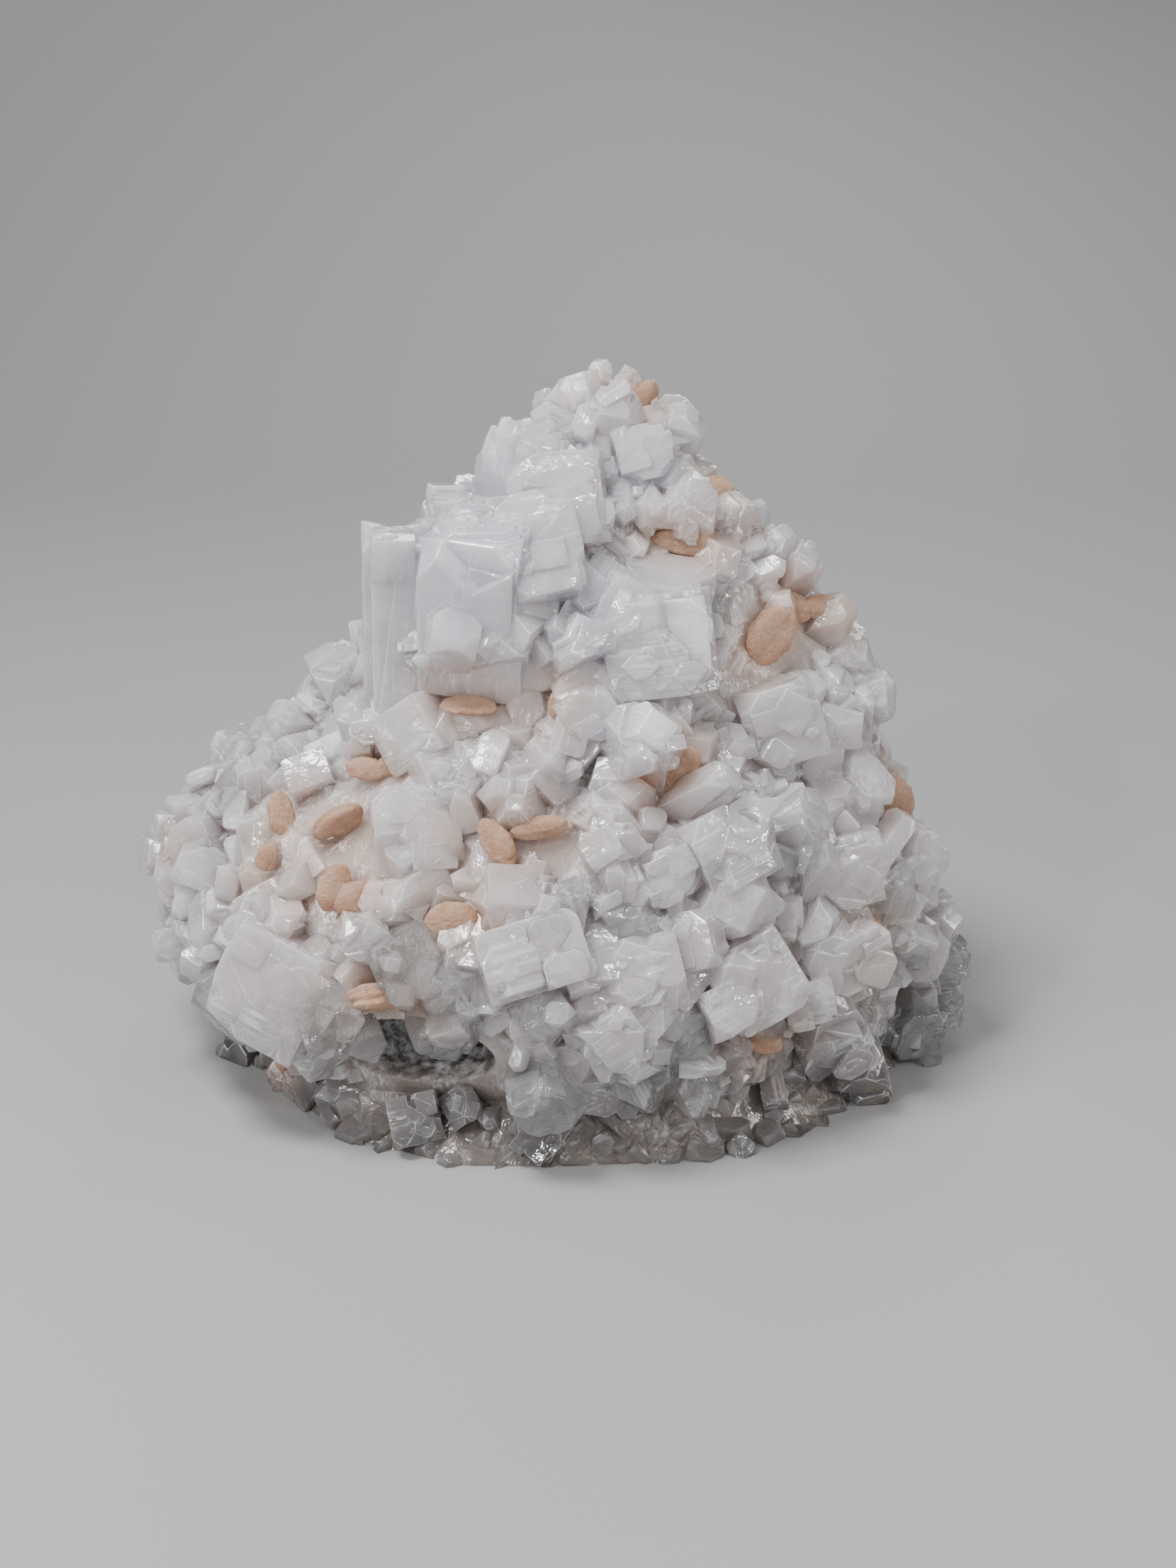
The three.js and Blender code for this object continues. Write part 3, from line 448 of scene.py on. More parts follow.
class Islands:
    """Closed bodies for one mesh, with each face's tone and growth direction and each corner's wear."""

    def __init__(self):
        self.points, self.faces, self.axis, self.tone, self.wear = [], [], [], [], []
        self.count = 0

    def add(self, points, faces, axes, tone, wear=0.0):
        self.points.append(points)
        self.faces.extend([[self.count + corner for corner in face] for face in faces])
        for face in faces:
            first, second, third = points[face[:3]]
            level = abs(unit(np.cross(second - first, third - first)) @ axes[:, 2]) > 0.8
            self.axis.append(axes[:, 0] if level else axes[:, 2])
        self.tone.extend([tone] * len(faces))
        self.wear.extend([wear] * len(points))
        self.count += len(points)

    def add_crystal(self, crystal, tone, wear, cuts=()):
        normals, offsets = crystal.planes()
        if cuts:
            points, _ = convex(normals, offsets)
            for normal, keep in cuts:
                low, high = (points @ normal).min(), (points @ normal).max()
                normals = np.vstack([normals, normal])
                offsets = np.append(offsets, low + keep * (high - low))
        points, faces = convex(normals, offsets)
        if is_closed(faces):
            self.add(points @ crystal.axes.T + crystal.point, faces, crystal.axes, tone, wear)


class Sheaf(NamedTuple):
    """A stilbite sheaf: its middle, its own axes, its sizes in mm and its waist."""

    name: str
    point: np.ndarray
    axes: np.ndarray
    long: float
    wide: float
    thick: float
    waist: float


def placed_sheaves():
    placed = []
    for name, x, y, long, wide, thick, along, face, waist in SHEAVES:
        point = seen_on_mound(x, y) - SHEAF_LIFT * AHEAD
        placed.append(Sheaf(name, point, lying(along, face), long, wide, thick, waist))
    for name, degrees, z, long, wide, thick, spin, waist in HIDDEN_SHEAVES:
        angle = math.radians(degrees)
        normal = skin_normal(angle, z)
        sideways = unit(np.cross([0, 0, 1], normal))
        spin = math.radians(spin)
        along = math.cos(spin) * sideways + math.sin(spin) * np.cross(normal, sideways)
        point = skin(angle, z) + SHEAF_LIFT * normal
        placed.append(Sheaf(name, point, lying(along, normal), long, wide, thick, waist))
    return placed


def shown_crystals():
    crystals = []
    for x, y, wide, deep, rise, axis, turn, blunt, clear in SHOWN_CRYSTALS:
        a, b = wide / 2, deep / 2
        tip = blunt * (a + b)
        crystals.append(Crystal(seen_on_mound(x, y), standing(axis, turn), a, b, rise, tip, clear))
    return crystals


def cover_crystals(shown, sheaves):
    draw = random_draws(COVER["seed"])
    crystals = []
    z = COVER["first_z"]
    while z < COVER["last_z"]:
        count = max(COVER["fewest"], math.floor(girth_at(z) / COVER["spacing"] + 0.5))
        for i in range(count):
            angle = (i + COVER["jitter"] * draw()) / count * 2 * math.pi
            height = z + COVER["jitter"] * COVER["row"] * (draw() - 0.5)
            size = draw() ** 1.6
            tilt = random_vector(draw)
            turn = 90 * draw()
            blunt = 0.1 + 0.65 * draw()
            point = skin(angle, max(height, 3))
            if any(np.linalg.norm(c.point - point) < COVER["clear_of_shown"] for c in shown):
                continue
            if any(np.linalg.norm(s.point - point) < COVER["clear_of_sheaves"] for s in sheaves):
                continue
            wide = COVER["least"] + (COVER["most"] - COVER["least"]) * size
            if point[1] < COVER["back_starts"]:
                wide = min(wide, COVER["front_wide"])
            if height < COVER["lip_height"]:
                wide = min(wide, COVER["lip_wide"])
            axis = skin_normal(angle, point[2]) + 2 * COVER["tilt"] * tilt + [0, 0, COVER["upward"]]
            rise = COVER["rise"] * wide
            crystals.append(Crystal(point, standing(axis, turn), wide / 2, wide / 2, rise, blunt * wide))
        z += COVER["row"]
    return crystals


def turned_a_little(axes, draw, degrees):
    """The axes turned about a random line by up to some degrees, as one crystal of a bundle is."""
    about = unit(random_vector(draw))
    angle = math.radians(degrees) * (2 * draw() - 1)
    cross = np.array([[0, -about[2], about[1]], [about[2], 0, -about[0]], [-about[1], about[0], 0]])
    turn = np.eye(3) + math.sin(angle) * cross + (1 - math.cos(angle)) * cross @ cross
    return turn @ axes


CORE_WIDTH, CORE_RISE = 0.965, 0.97
BLOCK_SPACING = 4.5
BLOCK_LEAN = 3


def parallel_growth(crystal, draw):
    """A big crystal as it grew: a core, and parallel blocks a little out of its sides and top."""
    blunt = crystal.tip / (crystal.a + crystal.b)
    yield Crystal(
        crystal.point, crystal.axes, CORE_WIDTH * crystal.a, CORE_WIDTH * crystal.b,
        CORE_RISE * crystal.rise, CORE_WIDTH * crystal.tip, crystal.clear,
    )
    for _ in range(1 + int(2 * crystal.a / BLOCK_SPACING)):
        a = crystal.a * (0.3 + 0.4 * draw())
        b = crystal.b * (0.3 + 0.4 * draw())
        side_x = 1 if draw() < 0.5 else -1
        side_y = 1 if draw() < 0.5 else -1
        x = side_x * (crystal.a - a) * min(1.0, 0.3 + draw())
        y = side_y * (crystal.b - b) * min(1.0, 0.3 + draw())
        highest = crystal.apex - PYRAMID_SLOPE * 0.8 * (abs(x) + abs(y))
        rise = min(crystal.rise, highest) * (0.9 + 0.12 * draw())
        axes = turned_a_little(crystal.axes, draw, BLOCK_LEAN)
        point = crystal.point + crystal.axes @ [x, y, 0]
        tip = min(1, blunt * (0.6 + 0.8 * draw())) * (a + b)
        yield Crystal(point, axes, a, b, rise, tip, crystal.clear)


def milky_heart(crystal, draw):
    """The milky inside of a crystal whose outer part is clearer."""
    skin_depth = (0.05 + 0.06 * draw() + 0.12 * crystal.clear) * (crystal.a + crystal.b)
    a, b = crystal.a - skin_depth, crystal.b - skin_depth
    share = (a + b) / (crystal.a + crystal.b)
    axes = turned_a_little(crystal.axes, draw, 2)
    return Crystal(crystal.point, axes, a, b, crystal.rise - skin_depth, share * crystal.tip)


def chips(draw, chance):
    """Broken corners: normals on a crystal's own axes, and how much of its length along each is kept."""
    cuts = []
    while draw() < chance and len(cuts) < 3:
        normal = unit([draw() - 0.5, draw() - 0.5, 0.8 * draw()])
        cuts.append((normal, 0.74 + 0.22 * draw()))
    return cuts


def worn_top(draw):
    """Slanting cuts that round the upper edges of a big block."""
    cuts = []
    for x, y in ((1, 0), (-1, 0), (0, 1), (0, -1), (1, 1), (1, -1), (-1, 1), (-1, -1)):
        for up in (0.55, 1.5):
            if draw() < 0.7:
                cuts.append((unit([x, y, up * math.hypot(x, y)]), 0.925 + 0.05 * draw()))
    return cuts


BED = {
    "seed": 31, "first": 0.5, "row": 5.6, "spacing": 6.4, "least": 5.0, "more": 6.0,
    "lean": 1.3, "lowest": 0.8, "higher": 2.0,
}
CROWD = {
    "seed": 57, "first": 16.0, "row": 8.0, "spacing": 9.0, "least": 7.0, "more": 9.0,
    "lean": 1.0, "lowest": 2.4, "higher": 5.6,
}
LAST_ROW = 163
FEWEST_ROUND = 6

# How far in front of a sheaf nothing may grow, as a share of its length: one leaf, and two leaves.
ONE_LEAF_REACH, TWO_LEAVES_REACH = 0.5, 0.6


def sunk(point, out, height, axes, wide, deep, rise, blunt, clear):
    """A crystal whose outermost corner stands a height above a surface, and that corner's place."""
    crystal = Crystal(point, axes, wide / 2, deep / 2, rise, blunt * (wide + deep) / 2, clear)
    corners = convex(*crystal.planes())[0] @ axes.T
    reach = corners @ out
    crystal.point = crystal.point + (height - reach.max()) * out
    return crystal, crystal.point + corners[reach.argmax()]


class Placed:
    """The big crystals and the sheaves, which a small crystal's outer corner keeps clear of."""

    def __init__(self, crystals, sheaves):
        self.crystals = crystals
        self.points = np.array([c.point for c in crystals])
        self.reach = np.array([max(c.apex, -c.bottom) + c.a + c.b for c in crystals])
        self.sheaf_points = np.array([sheaf.point for sheaf in sheaves])
        shares = [TWO_LEAVES_REACH if sheaf.name in LEAVES else ONE_LEAF_REACH for sheaf in sheaves]
        self.sheaf_reach = np.array([share * sheaf.long for share, sheaf in zip(shares, sheaves)])

    def kept_open(self, corner):
        """Whether a corner is in front of a sheaf or in the hollow."""
        distance = np.linalg.norm(self.sheaf_points - corner, axis=1)
        return bool((distance < self.sheaf_reach).any()) or in_hollow(corner, HOLLOW_CLEAR)

    def hide(self, corner, host=None):
        near = np.nonzero(np.linalg.norm(self.points - corner, axis=1) < self.reach)[0]
        if any(self.crystals[i].holds(corner, 0.3) for i in near if self.crystals[i] is not host):
            return True
        return self.kept_open(corner)


def crystals_on_skin(layer, placed):
    """Crystals all over the mound's skin, leaning every way, each with one corner a set height above it."""
    draw = random_draws(layer["seed"])
    crystals = []
    z = layer["first"]
    while z < LAST_ROW:
        count = max(FEWEST_ROUND, round(girth_at(z) / layer["spacing"]))
        for i in range(count):
            angle = (i + 0.9 * draw()) / count * 2 * math.pi
            height = max(z + 0.9 * layer["row"] * (draw() - 0.5), 0.5)
            wide = layer["least"] + layer["more"] * draw() ** 1.6
            deep = wide * (0.5 + 0.5 * draw())
            lean = random_vector(draw)
            turn = 90 * draw()
            blunt = 0.15 + 0.8 * draw() ** 1.5
            out = layer["lowest"] + layer["higher"] * draw() ** 1.3
            clear = draw()
            normal = skin_normal(angle, max(height, 1))
            axes = standing(normal + 2 * layer["lean"] * lean, turn)
            rise = wide * (0.35 + 0.55 * clear)
            crystal, top = sunk(skin(angle, height), normal, out, axes, wide, deep, rise, blunt, clear)
            if not placed.hide(top):
                crystals.append(crystal)
        z += layer["row"]
    return crystals


BRIDGE = {"seed": 41, "reach": 11.0, "least": 6.0, "two_from": 4.0, "spread": 0.5, "lowest": 3}


def bridging_crystals(placed):
    """Crystals between neighbouring big ones, which fill the gap up to near the lower one's top."""
    draw = random_draws(BRIDGE["seed"])
    crystals = []
    for one, other in combinations(placed.crystals, 2):
        apart = np.linalg.norm(one.point - other.point)
        if apart > one.a + other.a + BRIDGE["reach"] or one.axes[:, 2] @ other.axes[:, 2] < -0.2:
            continue
        out = unit(one.axes[:, 2] + other.axes[:, 2])
        for _ in range(2 if min(one.a, other.a) > BRIDGE["two_from"] else 1):
            share = 0.3 + 0.4 * draw()
            point = share * one.point + (1 - share) * other.point
            lowest = min((c.point + c.rise * c.axes[:, 2] - point) @ out for c in (one, other))
            height = lowest * (0.55 + 0.4 * draw())
            wide = max(BRIDGE["least"], min(one.a, other.a) * (1.0 + 0.9 * draw()))
            deep = wide * (0.6 + 0.4 * draw())
            lean = random_vector(draw)
            turn = 90 * draw()
            blunt = 0.2 + 0.75 * draw()
            clear = draw()
            point = point + 0.25 * wide * random_vector(draw)
            if height < 1:
                continue
            axes = standing(out + 2 * BRIDGE["spread"] * lean, turn)
            rise = max(0.5 * wide, height + 3)
            crystal, top = sunk(point, out, height, axes, wide, deep, rise, blunt, clear)
            if top[2] > BRIDGE["lowest"] and not placed.kept_open(top):
                crystals.append(crystal)
    return crystals


PERCH = {
    "seed": 97, "for_each_mm2": 0.025, "least": 3, "more": 0.9, "steps": 0.65, "step_lean": 7,
    "lean": 1.6, "lowest": 1.5,
}


def perched_crystals(placed):
    """Crystals almost sunk in the ends of the big ones: most as low parallel steps, the rest leaning."""
    draw = random_draws(PERCH["seed"])
    crystals = []
    for host in placed.crystals:
        for _ in range(int(PERCH["for_each_mm2"] * host.a * host.b) + 1):
            wide = PERCH["least"] + PERCH["more"] * host.a * draw()
            deep = wide * (0.45 + 0.55 * draw())
            inner = max(0, 1 - 0.45 * wide / host.b)
            u = math.copysign(inner * (0.35 + 0.65 * draw()), draw() - 0.5)
            v = math.copysign(inner * (0.35 + 0.65 * draw()), draw() - 0.5)
            is_step = draw() < PERCH["steps"]
            turn = 90 * draw()
            lean = random_vector(draw)
            clear = draw()
            blunt = 0.3 + 0.7 * draw()
            height = 0.2 + (0.05 if is_step else 0.12) * wide * draw()
            spot = np.array([u * host.a, v * host.b, host.rise])
            spot[2] = min(spot[2], host.apex - PYRAMID_SLOPE * (abs(spot[0]) + abs(spot[1])))
            point = host.point + host.axes @ spot
            out = host.axes[:, 2]
            if is_step:
                axes = turned_a_little(host.axes, draw, PERCH["step_lean"])
            else:
                axes = standing(out + PERCH["lean"] * lean, turn)
            crystal, top = sunk(point, out, height, axes, wide, deep, 0.5 * wide, blunt, clear)
            if top[2] > PERCH["lowest"] and not placed.hide(top, host):
                crystals.append(crystal)
    return crystals


# Meshes


def in_scene(name, data):
    """A new object in the scene."""
    obj = bpy.data.objects.new(name, data)
    bpy.context.scene.collection.objects.link(obj)
    return obj


def write_attribute(mesh, name, domain, values, kind="FLOAT"):
    attribute = mesh.attributes.new(name, kind, domain)
    values = np.asarray(values, np.float32).ravel()
    attribute.data.foreach_set("value" if kind == "FLOAT" else "vector", values)


def island_object(name, islands, widest_wear, materials, is_hollowed=False):
    """One Blender object of all the gathered bodies, joined where they overlap and cut flat at the foot.

    Worn edges take the second material.
    """
    mesh = bpy.data.meshes.new(name)
    points = (np.concatenate(islands.points) + SHIFT) * MM
    mesh.from_pydata(points.tolist(), [], islands.faces)
    for material in materials:
        mesh.materials.append(material)
    write_attribute(mesh, "axis", "FACE", islands.axis, "FLOAT_VECTOR")
    write_attribute(mesh, "tone", "FACE", islands.tone)
    obj = in_scene(name, mesh)
    if widest_wear:
        ends = np.empty(2 * len(mesh.edges), int)
        mesh.edges.foreach_get("vertices", ends)
        wear = np.array(islands.wear, np.float32)[ends[::2]] / widest_wear
        write_attribute(mesh, "bevel_weight_edge", "EDGE", wear)
        worn = obj.modifiers.new("worn edges", "BEVEL")
        worn.width = widest_wear * MM
        worn.segments = 1
        worn.limit_method = "WEIGHT"
        worn.use_clamp_overlap = False
        worn.material = len(materials) - 1
    join = obj.modifiers.new("join", "NODES")
    join.node_group = join_group(is_hollowed)
    graph = bpy.context.evaluated_depsgraph_get()
    finished = bpy.data.meshes.new_from_object(
        obj.evaluated_get(graph), preserve_all_data_layers=True, depsgraph=graph
    )
    obj.modifiers.clear()
    obj.data = finished
    finished.name = name
    bpy.data.meshes.remove(mesh)
    return obj


class Nodes:
    """A node tree, and a short way to add a node to it."""

    def __init__(self, tree):
        self.tree = tree

    def node(self, kind, inputs=(), output=0, **settings):
        """One output of a new node; the inputs are given by name or number."""
        node = self.tree.nodes.new(kind)
        for key, value in settings.items():
            setattr(node, key, value)
        self.fill(node, inputs)
        return node.outputs[output]

    def fill(self, node, inputs):
        """Links an input where it is given an output, and sets it where it is given a value."""
        for key, value in dict(inputs).items():
            if hasattr(value, "is_output"):
                self.tree.links.new(value, node.inputs[key])
            else:
                node.inputs[key].default_value = value


# A box under the foot, in metres, that the bodies are cut off with.
UNDER_SIZE, UNDER_MIDDLE = (0.6, 0.6, 0.2), (0, 0, -0.1)


def join_group(is_hollowed):
    """Geometry nodes that join all islands in one solid, cut it flat at the foot and scoop the hollow."""
    name = "join and hollow" if is_hollowed else "join islands"
    if name in bpy.data.node_groups:
        return bpy.data.node_groups[name]
    tree = bpy.data.node_groups.new(name, "GeometryNodeTree")
    for in_out in ("INPUT", "OUTPUT"):
        tree.interface.new_socket("Geometry", in_out=in_out, socket_type="NodeSocketGeometry")
    nodes = Nodes(tree)
    bodies = nodes.node("NodeGroupInput")
    island = nodes.node("GeometryNodeInputMeshIsland", output="Island Index")
    parted = {"Geometry": bodies, "Group ID": island}
    split = nodes.node("GeometryNodeSplitToInstances", parted, domain="FACE")
    boolean = {"kind": "GeometryNodeMeshBoolean", "solver": "MANIFOLD"}
    joined = nodes.node(inputs={"Mesh": split}, operation="UNION", **boolean)
    box = nodes.node("GeometryNodeMeshCube", {"Size": UNDER_SIZE})
    below = nodes.node("GeometryNodeTransform", {"Geometry": box, "Translation": UNDER_MIDDLE})
    cut = nodes.node(inputs={0: joined, 1: below}, operation="DIFFERENCE", **boolean)
    if is_hollowed:
        ball = nodes.node("GeometryNodeMeshIcoSphere", {"Radius": 1, "Subdivisions": 3})
        place = {"Translation": (hollow_point + SHIFT) * MM, "Scale": HOLLOW_REACH * MM}
        scoop = nodes.node("GeometryNodeTransform", {"Geometry": ball, **place})
        nodes.fill(cut.node, {1: scoop})
    nodes.fill(tree.nodes.new("NodeGroupOutput"), {0: cut})
    return tree


def sheaf_outline(long, wide, thick, waist):
    """Corners of a sheaf's plain solid in the part's source, on its own axes."""
    corners = []
    for along, width, middle in ((0, waist, 0.45), (0.6, 1, 0.45), (1, 0.34, 0)):
        for x in (along * long / 2, -along * long / 2):
            edge, height = width * wide / 2, math.sqrt(width) * thick / 2 * (middle > 0)
            for side in (-edge, edge):
                corners.append((x, side, 0))
                corners.append((x, middle * side, height))
                corners.append((x, middle * side, -height))
    return np.array(corners)


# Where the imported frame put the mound's own origin, read from a piece that both know.
sheaves = placed_sheaves()
known_name, known_point, known_axes, *known_sizes = sheaves[0]
known_corners = sheaf_outline(*known_sizes) @ known_axes.T + known_point
known_low, known_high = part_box("stilbite_" + known_name)
known_middle = (known_corners.min(axis=0) + known_corners.max(axis=0)) / 2
SHIFT = np.array(known_low + known_high) / 2 / MM - known_middle


# Materials

BLUE_WHITE = (0.73, 0.73, 0.80, 1)
WARM_WHITE = (0.76, 0.68, 0.695, 1)
CLEAR_GREY = (0.42, 0.42, 0.43, 1)
# White of frost, and of painted glints and highlights.
FROST_AND_HIGHLIGHT_WHITE = (0.97, 0.97, 0.98, 1)
PEACH = (0.74, 0.50, 0.38, 1)
# Painted shade near the floor, at the foot of the mound.
FOOT_PAINTED_SHADE = (0.10, 0.095, 0.095, 1)
# Brown and painted shade deep between the crystals, in their crevices.
CREVICE_BROWN_AND_SHADE = (0.33, 0.26, 0.20, 1)
# Painted shadow inside the hollow under the overhang.
HOLLOW_PAINTED_SHADOW = (0.045, 0.038, 0.034, 1)
GLASS_WHITE, GLASS_GREY, GLASS_PEACH = (0.97, 0.98, 0.99, 1), (0.92, 0.92, 0.94, 1), (0.95, 0.8, 0.7, 1)
SHEAF_TAN, SHEAF_PEACH = (0.45, 0.25, 0.155, 1), (0.58, 0.38, 0.27, 1)
SHEAF_GRAIN, SHEAF_BROWN = (0.70, 0.55, 0.45, 1), (0.34, 0.19, 0.11, 1)

APOPHYLLITE_IOR, STILBITE_IOR = 1.535, 1.5
MILKY_SHARE, SHEAF_MILKY_SHARE = 0.75, 0.6
MILKY_RADIUS, SHEAF_RADIUS = (1.0, 0.92, 0.88), (1.0, 0.6, 0.4)
SHEAF_PATH = 0.0018
COAT_ROUGHNESS = 0.04

# Apophyllite's faces and worn edges: glassiness, transmission, scattering path in metres, least and most
# roughness, relief, and the share of white on the edges, frost of wear and painted highlight.
APOPHYLLITE = {
    "milky apophyllite": (0.6, 0.0, 0.02, (0.12, 0.4), 0.25, 0.0),
    "milky edges": (0.4, 0.0, 0.008, (0.2, 0.45), 0.2, 0.7),
    "cloudy apophyllite": (0.5, 0.3, 0.02, (0.06, 0.3), 0.2, 0.0),
    "cloudy edges": (0.3, 0.3, 0.008, (0.15, 0.4), 0.2, 0.7),
}

# The noises: scale for a metre, detail and roughness.
NOISES = {
    "warm patches": (24, 3, 0.55),
    "glassy clouds": (110, 5, 0.65),
    "growth lines": (1500, 2, 0.6),
    "brushed patches": (85, 2, 0.5),
    "unevenness": (420, 2, 0.6),
    "swell": (130, 1, 0.5),
    "cracked patches": (75, 2, 0.5),
    "etched and glinting streaks": (900, 3, 0.65),
    "frost grains": (1500, 3, 0.7),
    "frosted patches": (120, 4, 0.65),
    "edge frost and highlight": (300, 4, 0.7),
    "dull patches": (330, 4, 0.65),
    "coat patches": (65, 2, 0.6),
    "veils": (150, 4, 0.65),
    "leaf streaks": (1100, 3, 0.6),
    "leaf grain": (1100, 4, 0.7),
    "leaf patches": (190, 4, 0.6),
}
DRAWN_OUT = 0.93
FACETS = {"scale": 300, "tilt": 0.22}
RELIEF = 0.0022
# Old cracks: curved lines of painted light, in patches.
CRACKS = {"warp": 110, "bend": 0.014, "scale": 190, "width": 0.06, "white": 0.35}


class Shading(Nodes):
    """The nodes of one material: short ways to add them, and the patterns of grown crystals."""

    def __init__(self, name):
        self.material = bpy.data.materials.new(name)
        self.material.use_nodes = True
        super().__init__(self.material.node_tree)
        self.place = self.node("ShaderNodeTexCoord", output="Object")

    def finished(self, **sockets):
        """The material, with the shader's own sockets set or linked."""
        shader = self.tree.nodes["Principled BSDF"]
        self.fill(shader, {name.replace("_", " "): value for name, value in sockets.items()})
        return self.material

    def math(self, operation, *values):
        return self.node("ShaderNodeMath", enumerate(values), operation=operation)

    def times(self, one, other):
        return self.math("MULTIPLY", one, other)

    def plus(self, one, other):
        return self.math("ADD", one, other)

    def most(self, one, other):
        return self.math("MAXIMUM", one, other)

    def vector(self, operation, *values):
        return self.node("ShaderNodeVectorMath", enumerate(values), operation=operation)

    def scaled(self, vector, share):
        return self.node("ShaderNodeVectorMath", {0: vector, 3: share}, operation="SCALE")

    def range(self, value, low, high, to_low, to_high):
        return self.node("ShaderNodeMapRange", enumerate((value, low, high, to_low, to_high)))

    def mix(self, share, first, second):
        return self.node("ShaderNodeMix", {0: share, 6: first, 7: second}, 2, data_type="RGBA")

    def attribute(self, name, output="Fac"):
        return self.node("ShaderNodeAttribute", output=output, attribute_name=name)

    def height(self):
        return self.node("ShaderNodeSeparateXYZ", {0: self.place}, "Z")

    def noise(self, name, place=None):
        scale, detail, rough = NOISES[name]
        place = self.place if place is None else place
        inputs = {"Vector": place, "Scale": scale, "Detail": detail, "Roughness": rough}
        return self.node("ShaderNodeTexNoise", inputs, "Fac")

    def bump(self, height, distance, strength, **more):
        inputs = {"Height": height, "Distance": distance, "Strength": strength, **more}
        return self.node("ShaderNodeBump", inputs, "Normal")

    def grown_along(self):
        """The place on a crystal with its length drawn out, so that a pattern runs in lines along it."""
        axis = self.attribute("axis", "Vector")
        along = self.node("ShaderNodeVectorMath", {0: self.place, 1: axis}, "Value", operation="DOT_PRODUCT")
        return self.vector("SUBTRACT", self.place, self.scaled(axis, self.times(along, DRAWN_OUT)))

    def grown_colour(self, glassiness):
        """Bluish white, warmer and greyer towards the bottom, grey where glassy, peach beside a sheaf, brown
        and painted shade in crevices, painted shade at the foot, painted shadow in the hollow.
        """
        tone, depth, height = self.attribute("tone"), self.attribute("depth"), self.height()
        lowness = self.range(height, 0.03, 0.13, 0.4, 0)
        warmth = self.plus(self.plus(self.noise("warm patches"), self.times(tone, 0.2)), lowness)
        glassy = self.plus(self.noise("glassy clouds"), self.times(tone, 0.22))
        glassy = self.plus(glassy, self.times(lowness, 0.3))
        layers = (
            (self.range(warmth, 0.5, 0.85, 0, 1), WARM_WHITE),
            (self.range(glassy, 0.5, 0.85, 0, glassiness), CLEAR_GREY),
            # Painted shade, darkest at the floor and fading out higher up.
            (self.range(height, 0.004, 0.04, 0.94, 0), FOOT_PAINTED_SHADE),
            (self.times(self.attribute("blush"), 0.8), PEACH),
            # Brown and painted shade where a corner lies deep between the crystals.
            (self.range(depth, 0.0, 1.0, 0, 0.5), CREVICE_BROWN_AND_SHADE),
            # Painted shadow deep in the hollow.
            (self.range(depth, 1.0, 1.8, 0, 0.95), HOLLOW_PAINTED_SHADOW),
        )
        colour = BLUE_WHITE
        for share, over in layers:
            colour = self.mix(share, colour, over)
        return colour

    def faceted_normal(self):
        """The surface's own normal, turned a little another way in each small patch of a grown face."""
        inputs = {"Vector": self.grown_along(), "Scale": FACETS["scale"]}
        cells = self.node("ShaderNodeTexVoronoi", inputs, "Color")
        aside = self.scaled(self.vector("SUBTRACT", cells, (0.5, 0.5, 0.5)), FACETS["tilt"])
        normal = self.node("ShaderNodeNewGeometry", output="Normal")
        return self.vector("NORMALIZE", self.vector("ADD", normal, aside))

    def striated(self, strength):
        """Growth lines along the prism, strong in patches, and a fine unevenness over turned patches."""
        lines = self.noise("growth lines", self.grown_along())
        brushed = self.range(self.noise("brushed patches"), 0.54, 0.66, 0.05, 1.6)
        height = self.plus(self.times(lines, brushed), self.times(self.noise("unevenness"), 0.5))
        height = self.plus(height, self.times(self.noise("swell"), 2))
        return self.bump(height, RELIEF, strength, Normal=self.faceted_normal())

    def crack_lines(self):
        """Thin curved lines of painted light where old cracks in the crystal catch the light, in patches."""
        inputs = {"Vector": self.place, "Scale": CRACKS["warp"]}
        warp = self.scaled(self.node("ShaderNodeTexNoise", inputs, "Color"), CRACKS["bend"])
        inputs = {"Vector": self.vector("ADD", self.place, warp), "Scale": CRACKS["scale"]}
        edge = self.node("ShaderNodeTexVoronoi", inputs, "Distance", feature="DISTANCE_TO_EDGE")
        cracked = self.range(self.noise("cracked patches"), 0.5, 0.62, 0, 1)
        return self.times(self.range(edge, 0.0, CRACKS["width"], 1, 0), cracked)

    def frost_and_glints(self):
        """The share of white: streaks along the prism, partly etching and partly painted glints, painted
        light on old cracks, and frost; less towards the foot and deep in the hollow, as painted shade.
        """
        # Streaks along the prism: etching, and painted glints of the growth lines.
        streaks = self.range(self.noise("etched and glinting streaks", self.grown_along()), 0.5, 0.62, 0, 1)
        brushed = self.range(self.noise("brushed patches"), 0.5, 0.6, 0, 0.9)
        grains = self.range(self.noise("frost grains"), 0.52, 0.72, 0, 0.8)
        frosted = self.range(self.noise("frosted patches"), 0.5, 0.66, 0.1, 1)
        # Less white towards the foot, as part of the painted shade there.
        risen = self.range(self.height(), 0.0, 0.035, 0.15, 1)
        # No white deep in the hollow, which keeps its painted shadow dark.
        outside = self.range(self.attribute("depth"), 1.0, 1.7, 1, 0)
        share = self.most(self.times(self.crack_lines(), CRACKS["white"]), self.times(streaks, brushed))
        share = self.most(share, self.times(grains, frosted))
        return self.times(share, self.times(risen, outside))


